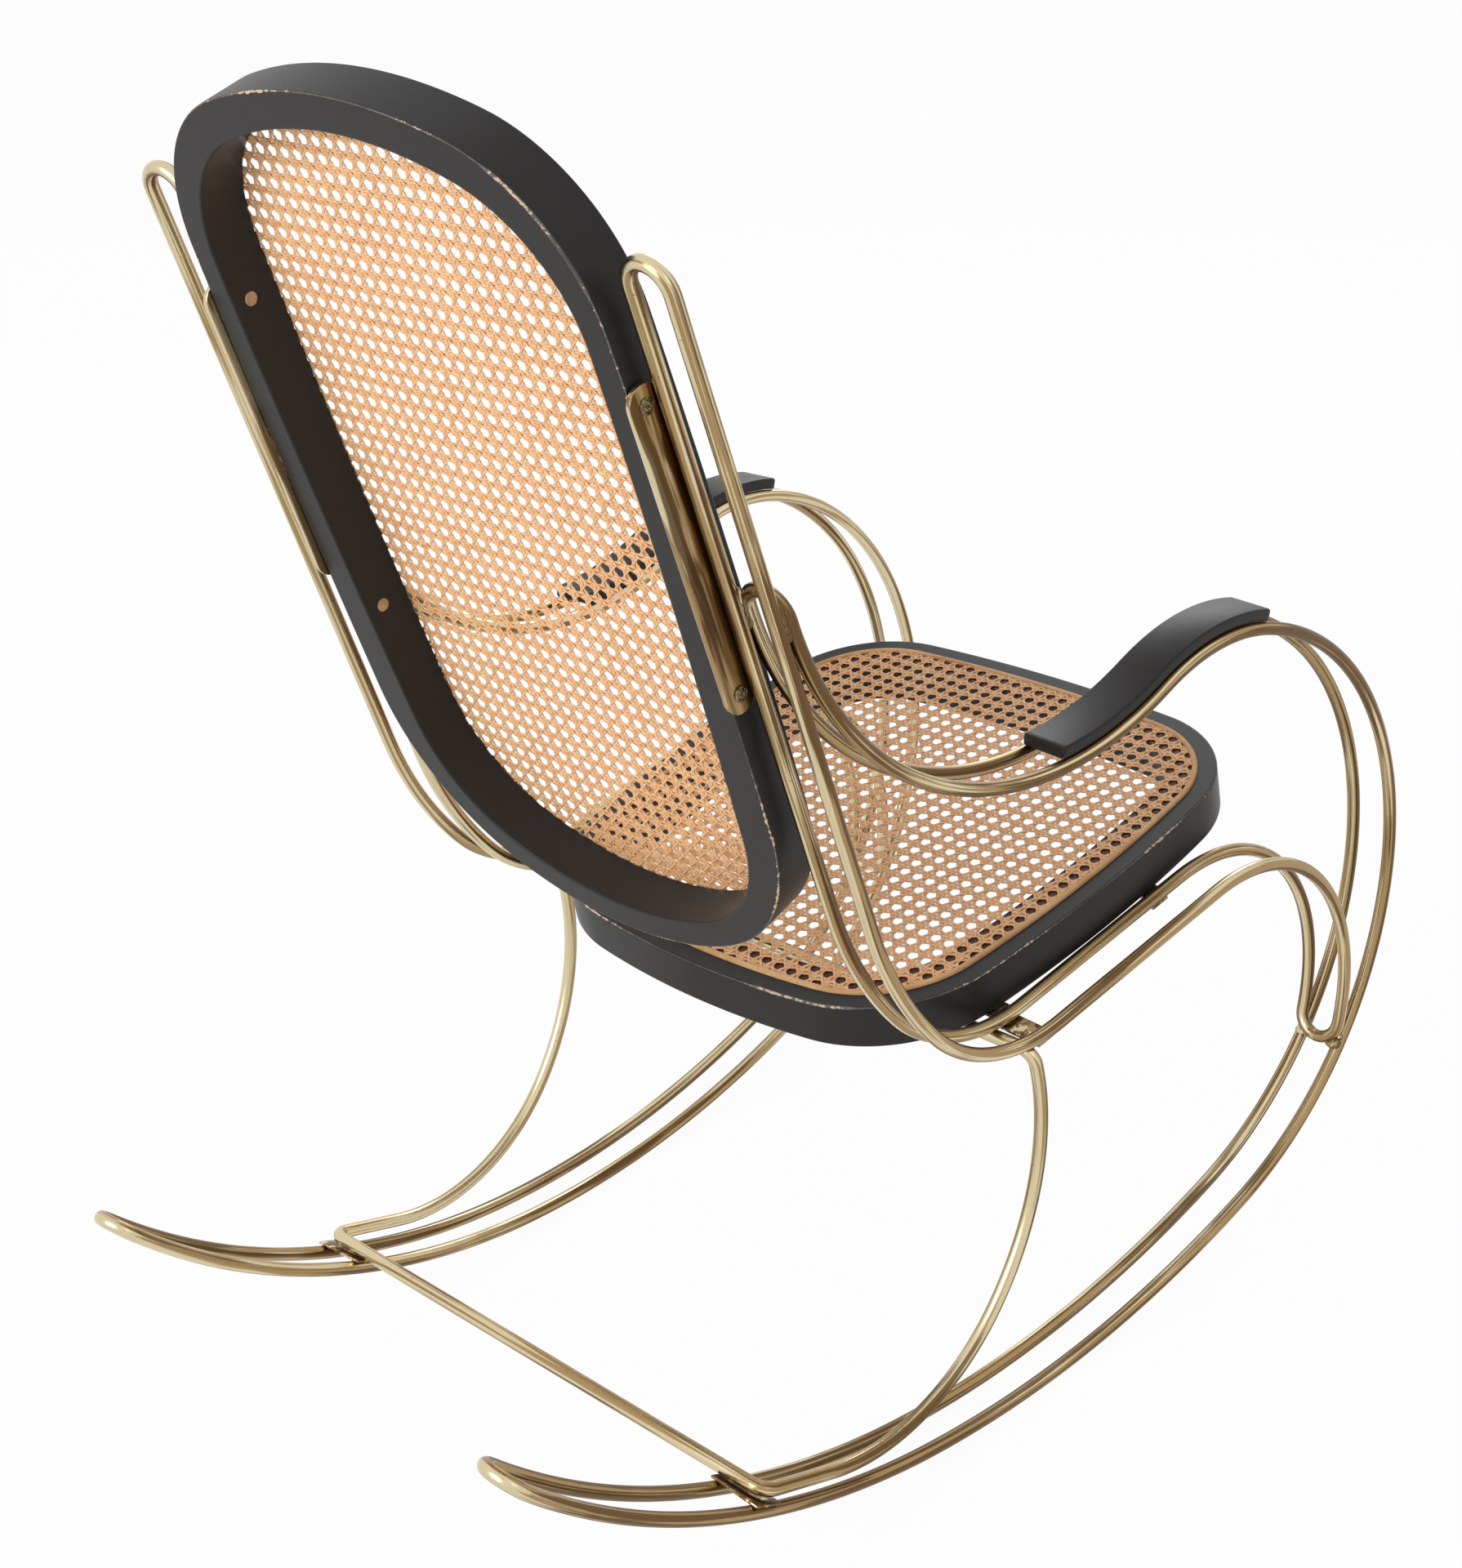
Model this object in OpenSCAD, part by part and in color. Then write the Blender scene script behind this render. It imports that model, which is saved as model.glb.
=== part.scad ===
// Brass and cane rocking chair: two hairpin loops of round rod on each side, a closed leg loop behind,
// and a back and a seat of black wood rings with woven cane in them.
//
// The chair is drawn in its own axes and then leaned back onto its runners:
//   x to the sitter's left, y rearwards from the cane of the back, z up along the back.
// A side frame lies flat in (y, z), is turned out a little towards the front, and is mirrored.
// A run is a list of [radius, degrees] bends (plus turns left) and [0, length] straights.
// A pose is [y, z, heading], with the heading in degrees from +y towards +z.

/* [Rod] */
// Diameter of the brass rod
rod_d = 10.4; // [8:0.2:13]
// Distance between the two rods of a hairpin, centre to centre
rod_gap = 35; // [30:1:45]
// Gap left at each welded or seated contact
joint_gap = 0.3; // [0.1:0.1:0.6]
// Length of the seam where two pieces of a rod are joined
seam_len = 0.6; // [0.4:0.1:1.5]
// Height of that seam above the rod
seam_h = 0.05; // [0.03:0.01:0.2]

/* [Stance] */
// How far the whole chair leans back at rest
recline = 19; // [14:0.1:24]
// Angle between the back and the seat
seat_angle = 98.2; // [94:0.1:104]
// How far each side frame turns out towards the front
toe = 3.1; // [0:0.1:5]

/* [Arm and runner loop] */
// Height of the loop's upper end, down from the middle of the back
arm_top = -62; // [-90:1:-40]
// Radius of the bend from the upright down to the arm
arm_rear_r = 274; // [240:1:300]
// Angle of that bend
arm_rear_a = 94.5; // [90:0.1:98]
// Straight stretch at the lowest part of the arm
arm_flat = 9; // [4:1:30]
// Radius of the bend over the front of the arm
arm_front_r = 179; // [150:1:210]
// Angle of that bend
arm_front_a = 40.2; // [36:0.1:44]
// Radius of the upper half of the front
front_top_r = 265; // [240:1:290]
// Angle of the upper half of the front
front_top_a = 68.9; // [65:0.1:73]
// Radius of the lower half of the front
front_low_r = 262; // [240:1:290]
// Angle of the lower half of the front
front_low_a = 76.7; // [73:0.1:80]
// Radius of the runner under the seat
runner_r = 850; // [780:1:950]
// Angle of that part of the runner
runner_a = 24.8; // [22:0.1:28]
// Radius of the runner's tail
tail_r = 648; // [600:1:720]
// Angle of the runner's tail
tail_a = 37.6; // [36:0.1:42]

/* [Upright and seat rail loop] */
// Height of the top of the upright, up from the middle of the back
upright_top = 188; // [170:1:210]
// Distance of the upright's centre behind the cane of the back
upright_y = 20.5; // [16:0.5:26]
// Straight length of the upright
upright_len = 480; // [460:1:500]
// Radius of the first, slow part of the bend to the seat
hip_slow_r = 305; // [280:1:330]
// Angle of the slow part
hip_slow_a = 23.1; // [18:0.1:28]
// Radius of the second, tight part of the bend to the seat
hip_r = 143; // [130:1:160]
// Straight length of the seat rail
rail_len = 188; // [170:1:205]
// Where the loop's foot stands, in degrees along the lower front bend
foot_at = 42.1; // [38:0.1:50]
// Steepness of the foot where it meets the runner
foot_heading = 58.1; // [50:0.1:66]

/* [Leg loop] */
// Where the crossbar lies, in degrees along the runner's tail
bar_at = 17; // [13:0.1:21]
// Radius of the loop's four corners
leg_corner_r = 12; // [9:0.5:18]
// Steepness of the leg where it leaves the crossbar
leg_low_heading = 37.5; // [30:0.5:45]
// Straight stretch of the leg beside the crossbar
leg_low_len = 58; // [40:1:80]
// Steepness of the leg where it turns in under the seat
leg_top_heading = 86.2; // [80:0.1:95]
// Where the run under the seat lies, in degrees back from the end of the hip bend
leg_run_back = 11; // [11:0.1:16]

/* [Runner plates] */
// Thickness of the plate under each end of the crossbar
runner_plate_t = 2; // [1.5:0.5:4]
// Reach of that plate behind the crossbar's centre
runner_plate_rear = 8; // [6:0.5:14]
// Reach of that plate in front of the crossbar's centre
runner_plate_front = 17; // [15:0.5:26]
// Diameter of the rivet head in it
rivet_head_d = 8; // [6:0.5:9]
// Height of the rivet head
rivet_head_h = 1.2; // [0.8:0.1:2]
// Diameter of the rivet's shank
rivet_d = 4; // [3:0.5:5]
// Depth of the rivet in the rod
rivet_depth = 6; // [4:0.5:8]
// Distance of the rivet in front of the crossbar's centre
rivet_front = 11; // [10:0.5:12]

/* [Back] */
// Half width of the back frame
back_half_w = 199; // [185:0.5:215]
// Depth of the back frame from front to rear
back_depth = 37; // [30:0.5:42]
// Height at which the frame is widest
back_wide_at = -37; // [-70:1:0]
// Radius of the frame's long sides
back_side_r = 6500; // [4500:100:9000]
// Height of the frame's top
back_top = 275.5; // [265:0.5:290]
// Radius of the curve along the top
back_top_r = 368; // [330:1:420]
// Radius of the upper corners
back_top_corner = 125; // [115:1:135]
// Height of the frame's bottom, down from the middle
back_bottom = -391; // [-405:0.5:-380]
// Radius of the curve along the bottom
back_bottom_r = 253; // [235:1:275]
// Radius of the lower corners
back_bottom_corner = 158; // [145:1:168]

/* [Back opening] */
// Half width of the opening in the back frame
hole_half_w = 176; // [165:0.5:178]
// Height at which the opening is widest
hole_wide_at = 110; // [60:1:140]
// Radius of the opening's long sides
hole_side_r = 5800; // [4500:100:9000]
// Height of the opening's top
hole_top = 250; // [240:0.5:253]
// Radius of the curve along the opening's top
hole_top_r = 303; // [270:1:340]
// Radius of the opening's upper corners
hole_top_corner = 109; // [98:1:120]
// Height of the opening's bottom
hole_bottom = -368; // [-371:0.5:-355]
// Radius of the curve along the opening's bottom
hole_bottom_r = 246; // [230:1:265]
// Radius of the opening's lower corners
hole_bottom_corner = 118; // [105:1:130]

/* [Seat] */
// Half width of the seat frame
seat_half_w = 218; // [205:0.5:222]
// Thickness of the seat frame
seat_t = 35.5; // [31:0.5:38]
// Place along the seat where it is widest, in front of its middle
seat_wide_at = -56; // [-80:1:-30]
// Radius of the seat frame's sides
seat_side_r = 1250; // [1100:10:1600]
// Reach of the seat frame behind its middle
seat_rear = 234; // [225:0.5:240]
// Radius of the curve along the seat's rear
seat_rear_r = 718; // [650:1:800]
// Radius of the rear corners
seat_rear_corner = 115; // [105:1:125]
// Reach of the seat frame in front of its middle
seat_front = -222; // [-228:0.5:-212]
// Radius of the curve along the seat's front
seat_front_r = 1345; // [1200:5:1500]
// Radius of the front corners
seat_front_corner = 100; // [90:1:112]
// Width of the wood all round the seat's opening
seat_ring_w = 40; // [34:0.5:44]
// Distance of the seat's middle in front of the rail's rear end
seat_along = 110.5; // [100:0.5:120]
// Height of the wood's lower face above the middle of the rails' rods, which pass beside it
seat_rise = 1.2; // [1:0.1:2]

/* [Cane and spline] */
// Thickness of the woven cane
cane_t = 1.8; // [1.2:0.1:2.4]
// Distance between the gaps that stand for the open weave
net_pitch = 27; // [26:0.5:32]
// Diameter of one of those gaps
net_hole_d = 15; // [8:0.5:18]
// Cane left between those gaps and the edge of the frame's opening
net_rim = 2; // [1:0.5:4]
// Wood outside the groove on the back frame
back_band = 9; // [7:0.5:10]
// Wood outside the groove on the seat frame
seat_band = 15; // [12:0.5:18]
// Width of the spline that holds the cane
spline_w = 4.6; // [4:0.1:5]
// Clearance on each side of the spline
spline_gap = 0.2; // [0.1:0.05:0.4]
// Depth of the spline's groove in the wood
groove_depth = 6; // [4:0.5:8]
// Height of the spline above the cane
spline_proud = 0.6; // [0.2:0.1:1.5]

/* [Armrests] */
// Width of an armrest
arm_w = 37; // [34:0.5:44]
// Thickness of an armrest
arm_t = 9.5; // [8:0.5:14]
// Where the armrest starts, in degrees along the bend from the upright
arm_from = 71.5; // [62:0.1:78]
// Where the armrest ends, in degrees along the bend over the front
arm_to = 38.8; // [30:0.1:40]

/* [Back brackets] */
// Length of the plate that carries the back on each side
bracket_len = 240; // [220:1:260]
// Width of that plate
bracket_w = 25; // [23:0.5:28]
// Thickness of that plate
bracket_t = 4; // [3:0.5:5]
// Height of the plate's middle
bracket_z = -10; // [-30:1:10]
// Distance from the upright's centre to the plate's front edge, forwards
bracket_front = 2; // [0:0.5:4]
// Distance from the plate's middle to each of its screws
bracket_screw_z = 106; // [95:1:108]
// Distance of the screws behind the cane of the back
bracket_screw_y = 31; // [30.5:0.5:32]

/* [Seat brackets] */
// Width of the plates that carry the seat
seat_bracket_w = 18; // [16:0.5:22]
// Thickness of those plates
seat_bracket_t = 2.5; // [2:0.5:4]
// Place of the rear plates, from the rail's rear end forwards
seat_bracket_rear = -14; // [-14:1:-8]
// Place of the front plates, from the rail's rear end forwards
seat_bracket_front = 160; // [145:1:170]
// Length of the flat end under the wood
seat_bracket_foot = 34; // [30:0.5:40]
// Distance from the riser to the screw
seat_bracket_screw = 22; // [18:0.5:24]

/* [Screws and plugs] */
// Diameter of a screw's shank
screw_d = 4; // [3:0.1:5]
// Length of a screw under its head
screw_len = 18; // [14:0.5:19]
// Diameter of a screw's head
screw_head_d = 8; // [6.5:0.1:8.4]
// Height of a screw's head
screw_head_h = 2.2; // [1.6:0.1:3]
// Clearance round a screw or plug
screw_gap = 0.1; // [0.05:0.05:0.3]
// Width of the cross recess in a screw's head
recess_w = 1; // [0.6:0.1:1.4]
// Diameter of the plugs on the inner faces of the back frame
plug_d = 10; // [8:0.5:12]
// Depth of a plug in the wood
plug_depth = 5; // [4:0.5:7]
// Height of a plug above the wood
plug_proud = 0.3; // [0.1:0.1:0.8]
// Distance of the plugs behind the cane of the back
plug_y = 22.5; // [20:0.5:25]
// Height of the upper plugs
plug_high = 98; // [90:1:110]
// Height of the lower plugs
plug_low = -157; // [-170:1:-145]

/* [Hidden] */
round_fn = 32;
bend_fn = 240;
chord_error = 0.15;
// Each piece of rod stops this far short of its seam's middle
seam_trim = 0.1;
rod_r = rod_d / 2;
brass = [0.71, 0.60, 0.33];
black = [0.07, 0.065, 0.06];
cane = [0.82, 0.60, 0.37];
reed = [0.80, 0.62, 0.40];
steel = [0.55, 0.50, 0.42];
dark = [0.16, 0.14, 0.12];

function unit(a) = [cos(a), sin(a)];
function at(pose) = [pose[0], pose[1]];

// Pose at the end of one bend or straight
function step(pose, seg) =
  seg[0] == 0 ? [pose[0] + seg[1] * cos(pose[2]), pose[1] + seg[1] * sin(pose[2]), pose[2]]
  : let (c = centre(pose, seg), out = at(pose) - c, a = seg[1])
    [c[0] + out[0] * cos(a) - out[1] * sin(a), c[1] + out[0] * sin(a) + out[1] * cos(a), pose[2] + a];

// Centre of a bend
function centre(pose, seg) = at(pose) + sign(seg[1]) * seg[0] * unit(pose[2] + 90);

// Poses at the start of each bend or straight and at the end of the last
function poses(pose, run, i = 0) =
  i == len(run) ? [pose] : concat([pose], poses(step(pose, run[i]), run, i + 1));

// Pose part of the way along a run: after i whole pieces and part of the next
function part_way(pose, run, i, part) = step(poses(pose, run)[i], [run[i][0], part]);

// A bend from a start with a heading towards a given point
function bend_to(p, heading, q) =
  let (d = q - p, t = unit(heading), k = t[0] * d[1] - t[1] * d[0])
  [(d * d) / (2 * abs(k)), 2 * atan2(k, t * d)];

// Two smooth bends from one pose to another
function two_bends(p, q) =
  let (t0 = unit(p[2]), t1 = unit(q[2]), v = at(q) - at(p), a = 2 * (1 - t0 * t1), b = v * (t0 + t1),
       d = (sqrt(b * b + a * (v * v)) - b) / a, mid = (at(p) + d * t0 + at(q) - d * t1) / 2,
       first = bend_to(at(p), p[2], mid))
  [first, bend_to(mid, p[2] + first[1], at(q))];

// Arm and runner loop, from behind the arm forwards, down and back along the floor
runner_start = [upright_y - rod_d - joint_gap, arm_top, -90];
runner_run = [
  [arm_rear_r, -arm_rear_a], [0, arm_flat], [arm_front_r, arm_front_a], [front_top_r, front_top_a],
  [front_low_r, front_low_a], [runner_r, runner_a], [tail_r, tail_a]
];

// Upright and seat rail loop, from the top down, forwards and down to the runner
rail_heading = -270 + seat_angle;
upright_start = [upright_y, upright_top - rod_gap / 2, -90];
hip_a = 270 - seat_angle - 90 - hip_slow_a;
hip_run = [[0, upright_len], [hip_slow_r, -hip_slow_a], [hip_r, -hip_a]];
rail_start = poses(upright_start, hip_run)[3];
rail_end = step(rail_start, [0, rail_len]);
foot_pose = part_way(runner_start, runner_run, 4, foot_at);
// Height at which the round end of the loop clears the two rods it stands on
foot_slope = foot_pose[2] + foot_heading;
foot_h = max([for (t = [0:1:60]) let (side = rod_gap / 2 * (1 - cos(t)), reach = rod_d + joint_gap)
  sqrt(max(0, reach * reach - side * side)) - rod_gap / 2 * sin(foot_slope) * (1 - sin(t))]);
foot_tip = at(foot_pose) + foot_h * unit(foot_pose[2] + 90);
foot_end = concat(foot_tip - rod_gap / 2 * unit(-foot_heading), [-foot_heading]);
upright_run = concat(hip_run, [[0, rail_len]], two_bends(rail_end, foot_end));

// Leg loop, in the plane of the outer rods, from under the seat down and back to the crossbar
bar_pose = part_way(runner_start, runner_run, 6, bar_at);
bar_h = rod_d + runner_plate_t + 2 * joint_gap;
bar_at_yz = chair_yz(at(bar_pose) + bar_h * unit(bar_pose[2] + 90), -rod_gap / 2 - rod_r);
run_pose = part_way(upright_start, hip_run, 2, leg_run_back - hip_a);
run_at_yz = chair_yz(at(run_pose) + (rod_d + joint_gap) * unit(run_pose[2] + 90), rod_gap / 2);
// A corner turns the rod from the leg's line into the crosswise line
function corner_turn(heading) = acos(cos(heading) * sin(toe));
function corner_reach(heading) = leg_corner_r / sin(corner_turn(heading)) * (1 - cos(corner_turn(heading)))
  * [cos(toe) * cos(heading), sin(heading)];
leg_top = run_at_yz - corner_reach(180 - leg_top_heading);
leg_low = bar_at_yz - corner_reach(leg_low_heading);
leg_bend_end = leg_low - leg_low_len * unit(leg_low_heading);
leg_start = concat(side_yz_in(leg_top), [-leg_top_heading]);
leg_knee = concat(side_yz_in(leg_bend_end), [leg_low_heading]);
leg_run = concat(two_bends(leg_start, leg_knee), [[0, leg_low_len]]);
// The side frame is turned out, so a point of it at w outwards lies a little further back or forward
function chair_yz(p, w) = [p[0] * cos(toe) + w * sin(toe), p[1]];
// The other way, for the outer rods, which the leg loop is in line with
function side_yz_in(p) = [(p[0] - rod_gap / 2 * sin(toe)) / cos(toe), p[1]];

// Middle of the two rods at the cane's plane, set by the back frame and its bracket
side_x = back_half_w + bracket_t + 2 * joint_gap + rod_r + rod_gap / 2 * cos(toe) + upright_y * tan(toe);

// How far a run reaches in a direction of the chair's own (y, z), with the rod's thickness
function bend_reach(pose, seg, m) =
  let (c = centre(pose, seg), s = sign(seg[1]), a0 = pose[2] - s * 90, aim = atan2(m[1], m[0]),
       turn = ((s * (aim - a0)) % 360 + 360) % 360)
  turn <= abs(seg[1]) ? c * m + seg[0] * norm(m) : at(pose) * m;
function loop_reach(n) =
  let (m = [n[0] * cos(toe), n[1]], p = poses(runner_start, runner_run), last = p[len(runner_run)],
       along = unit(last[2]) * m, across = n[0] * sin(toe))
  rod_r + max(concat(
    [for (i = [0:len(runner_run) - 1]) rod_gap / 2 * abs(across) + (runner_run[i][0] == 0 ? at(p[i]) * m
      : bend_reach(p[i], runner_run[i], m))],
    [at(last) * m + rod_gap / 2 * norm([max(0, along), across])]));
floor_z = loop_reach([sin(recline), -cos(recline)]);
rear_y = loop_reach([cos(recline), sin(recline)]);
front_y = loop_reach([-cos(recline), -sin(recline)]);

// Outline of a ring or panel, made of four long curves and four corners:
// [half width, widest at, side r, top, top r, top corner, bottom, bottom r, bottom corner]
back_outline = [
  back_half_w, back_wide_at, back_side_r, back_top, back_top_r, back_top_corner,
  back_bottom, back_bottom_r, back_bottom_corner
];
back_hole = [
  hole_half_w, hole_wide_at, hole_side_r, hole_top, hole_top_r, hole_top_corner,
  hole_bottom, hole_bottom_r, hole_bottom_corner
];
seat_outline = [
  seat_half_w, seat_wide_at, seat_side_r, seat_rear, seat_rear_r, seat_rear_corner,
  seat_front, seat_front_r, seat_front_corner
];

// Outline moved inwards all round
function inset(o, by) =
  [o[0] - by, o[1], o[2] - by, o[3] - by, o[4] - by, o[5] - by, o[6] + by, o[7] - by, o[8] - by];

// Point at given distances from two others, on the left of the line from the first to the second
function meet(p, r, q, s, left) =
  let (d = norm(q - p), a = (r * r - s * s + d * d) / (2 * d), e = (q - p) / d)
  p + a * e + left * sqrt(max(0, r * r - a * a)) * [-e[1], e[0]];
function angle_of(v) = atan2(v[1], v[0]);
function arc(c, r, a, b) =
  let (n = max(1, ceil(abs(b - a) / (2 * acos(1 - chord_error / r)))))
  [for (i = [0:n - 1]) c + r * unit(a + (b - a) * i / n)];

// Right half of the outline, from the middle of the top round to the middle of the bottom
function half_outline(o) =
  let (side = [o[0] - o[2], o[1]], top = [0, o[3] - o[4]], low = [0, o[6] + o[7]],
       high_c = meet(side, o[2] - o[5], top, o[4] - o[5], 1),
       low_c = meet(side, o[2] - o[8], low, o[7] - o[8], -1),
       a1 = angle_of(high_c - top), a2 = angle_of(high_c - side),
       a3 = angle_of(low_c - side), a4 = angle_of(low_c - low))
  concat(arc(top, o[4], 90, a1), arc(high_c, o[5], a1, a2), arc(side, o[2], a2, a3),
         arc(low_c, o[8], a3, a4), arc(low, o[7], a4, -90));
module outline(o) {
  half = half_outline(o);
  polygon(concat(half, [[0, o[6]]], [for (i = [len(half) - 1:-1:1]) [-half[i][0], half[i][1]]]));
}

// Half width of an outline at a height on its long side
function half_width_at(o, v) = o[0] - o[2] + sqrt(o[2] * o[2] - (v - o[1]) * (v - o[1]));

// Frames that the pieces are drawn in
module lean() {
  translate([0, (front_y - rear_y) / 2, floor_z]) rotate([-recline, 0, 0]) children();
}
module side(left) {
  lean() mirror([left ? 0 : 1, 0, 0]) translate([side_x, 0, 0])
    rotate([0, 0, toe]) rotate([90, 0, 90]) children();
}
module at_pose(pose) {
  translate([pose[0], pose[1], 0]) rotate([0, 0, pose[2]]) children();
}
// On the back panel: x across, y up, z from the cane rearwards
module on_back() {
  lean() mirror([0, 1, 0]) rotate([90, 0, 0]) children();
}
// On the seat: x across, y rearwards along the seat, z up from the wood's lower face
seat_pose = step(rail_start, [0, seat_along]);
riser_w = -rod_gap / 2 - rod_r - joint_gap;
seat_base = chair_yz(at(seat_pose) + seat_rise * unit(rail_heading - 90), riser_w - seat_bracket_foot);
module on_seat() {
  lean() translate([0, seat_base[0], seat_base[1]]) rotate([seat_angle - 90, 0, 0]) children();
}

// Round rod along one bend or straight, from seam to seam
module rod_piece(seg) {
  if (seg[0] == 0)
    translate([seam_trim, 0, 0]) rotate([0, 90, 0])
      cylinder(d = rod_d, h = seg[1] - 2 * seam_trim, $fn = round_fn);
  else {
    trim = seam_trim / seg[0] * 180 / PI;
    mirror([0, seg[1] < 0 ? 1 : 0, 0]) translate([0, seg[0], 0]) rotate([0, 0, trim - 90])
      rotate_extrude(angle = abs(seg[1]) - 2 * trim, $fn = bend_fn)
        translate([seg[0], 0]) circle(d = rod_d, $fn = round_fn);
  }
}
// Seam round the place where two pieces of rod meet
module rod_seam() {
  rotate([0, 90, 0]) cylinder(d = rod_d + 2 * seam_h, h = seam_len, center = true, $fn = round_fn);
}
// Rod along a run, with a seam at every join and at both ends
module rod_run(pose, run) {
  p = poses(pose, run);
  for (i = [0:len(run)])
    at_pose(p[i]) rod_seam();
  for (i = [0:len(run) - 1])
    at_pose(p[i]) rod_piece(run[i]);
}
// Half turn from the rod at one side of a hairpin to the one at the other side
module hairpin_turn() {
  rotate([-90, 0, 0]) rod_piece([rod_gap / 2, 180]);
}
module hairpin(pose, run) {
  for (w = [-1, 1])
    translate([0, 0, w * rod_gap / 2]) rod_run(pose, run);
  translate([0, 0, rod_gap / 2]) {
    at_pose(poses(pose, run)[len(run)]) hairpin_turn();
    at_pose(pose) rotate([0, 0, 180]) hairpin_turn();
  }
}

module runner_loop(left) {
  color(brass) difference() {
    side(left) hairpin(runner_start, runner_run);
    rivet_hole(left);
  }
}
module upright_loop(left) {
  color(brass) side(left) hairpin(upright_start, upright_run);
}

// Corner of the leg loop, from a point on the leg towards the middle of the chair
module leg_corner(p, heading) {
  d = [-cos(heading) * sin(toe), cos(heading) * cos(toe), sin(heading)];
  across = [-1, 0, 0];
  n0 = across - (across * d) * d;
  n = n0 / norm(n0);
  b = cross(d, n);
  multmatrix([[d[0], n[0], b[0], p[0]], [d[1], n[1], b[1], p[1]], [d[2], n[2], b[2], p[2]], [0, 0, 0, 1]])
    rod_piece([leg_corner_r, corner_turn(heading)]);
}
// Where the crosswise rod starts, after a corner
function after_corner(p, heading) =
  let (t = corner_turn(heading), reach = leg_corner_r * (1 - cos(t)) / sin(t),
       d = [-cos(heading) * sin(toe), cos(heading) * cos(toe), sin(heading)])
  p + reach * (d + [-1, 0, 0]);
function on_leg_plane(p) =
  [side_x + rod_gap / 2 * cos(toe) - p[0] * sin(toe), rod_gap / 2 * sin(toe) + p[0] * cos(toe), p[1]];
leg_foot = poses(leg_start, leg_run)[3];
module leg_crossing(p, heading) {
  q = after_corner(on_leg_plane(p), heading);
  translate([-q[0], q[1], q[2]]) rod_run([0, 0, 0], [[0, 2 * q[0]]]);
}
module leg_loop() {
  color(brass) {
    for (left = [false, true]) {
      side(left) translate([0, 0, rod_gap / 2]) rod_run(leg_start, leg_run);
      lean() mirror([left ? 0 : 1, 0, 0]) {
        leg_corner(on_leg_plane(leg_start), 180 - leg_top_heading);
        leg_corner(on_leg_plane(leg_foot), leg_low_heading);
      }
    }
    lean() {
      leg_crossing(leg_start, 180 - leg_top_heading);
      leg_crossing(leg_foot, leg_low_heading);
    }
  }
}

// Ring of wood with the groove that holds the cane's edge in its face at z = 0
module grooved_ring(outer, inner, depth, band) {
  difference() {
    linear_extrude(depth) difference() {
      outline(outer);
      outline(inner);
    }
    translate([0, 0, -1]) linear_extrude(groove_depth + 1) difference() {
      outline(inset(outer, band));
      outline(inset(outer, band + spline_w + 2 * spline_gap));
    }
  }
}
module spline_ring(outer, band) {
  height = groove_depth + cane_t + spline_proud;
  translate([0, 0, -cane_t - spline_proud]) linear_extrude(height) difference() {
    outline(inset(outer, band + spline_gap));
    outline(inset(outer, band + spline_gap + spline_w));
  }
}
// Cane sheet in front of the face at z = 0, with gaps over the frame's opening
module cane_sheet(outer, inner, band) {
  edge = inset(inner, net_hole_d / 2 + net_rim);
  columns = ceil(edge[0] / net_pitch);
  translate([0, 0, -cane_t]) linear_extrude(cane_t) difference() {
    outline(inset(outer, band + spline_w + 2 * spline_gap));
    for (j = [floor(edge[6] / net_pitch):ceil(edge[3] / net_pitch)])
      for (i = [-columns:columns])
        if (inside(edge, net_pitch * [i, j]))
          translate(net_pitch * [i, j]) circle(d = net_hole_d, $fn = round_fn);
  }
}
// Whether a point is inside an outline: within every long curve, and within a corner's circle beside it
function inside(o, p) =
  let (q = [abs(p[0]), p[1]], side = [o[0] - o[2], o[1]], top = [0, o[3] - o[4]], low = [0, o[6] + o[7]],
       high_c = meet(side, o[2] - o[5], top, o[4] - o[5], 1),
       low_c = meet(side, o[2] - o[8], low, o[7] - o[8], -1),
       in_long = norm(q - side) < o[2] && norm(q - top) < o[4] && norm(q - low) < o[7],
       by_high = beyond(q, high_c, top, side), by_low = beyond(q, low_c, side, low))
  in_long && (!by_high || norm(q - high_c) < o[5]) && (!by_low || norm(q - low_c) < o[8]);
// Whether a point lies in a corner's wedge, between the lines from two curve centres through its own centre
function beyond(q, c, first, second) =
  let (a = c - first, b = c - second, v = q - c)
  a[0] * v[1] - a[1] * v[0] < 0 && b[0] * v[1] - b[1] * v[0] > 0;

module back_frame() {
  color(black) difference() {
    on_back() translate([0, 0, cane_t / 2]) grooved_ring(back_outline, back_hole, back_depth, back_band);
    for (left = [false, true]) {
      back_screw_holes(left);
      plug_set(left, plug_d + 2 * screw_gap, plug_depth, 1);
    }
  }
}
module back_cane() {
  color(cane) on_back() translate([0, 0, cane_t / 2]) cane_sheet(back_outline, back_hole, back_band);
}
module back_spline() {
  color(reed) on_back() translate([0, 0, cane_t / 2]) spline_ring(back_outline, back_band);
}

// The seat's ring is drawn with its face at z = 0 and its wood below, so it is turned over onto the rails
module on_seat_face() {
  on_seat() translate([0, 0, seat_t]) mirror([0, 0, 1]) children();
}
module seat_frame() {
  color(black) difference() {
    on_seat_face() grooved_ring(seat_outline, inset(seat_outline, seat_ring_w), seat_t, seat_band);
    seat_screw_holes();
  }
}
module seat_cane() {
  color(cane) on_seat_face() cane_sheet(seat_outline, inset(seat_outline, seat_ring_w), seat_band);
}
module seat_spline() {
  color(reed) on_seat_face() spline_ring(seat_outline, seat_band);
}

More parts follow.
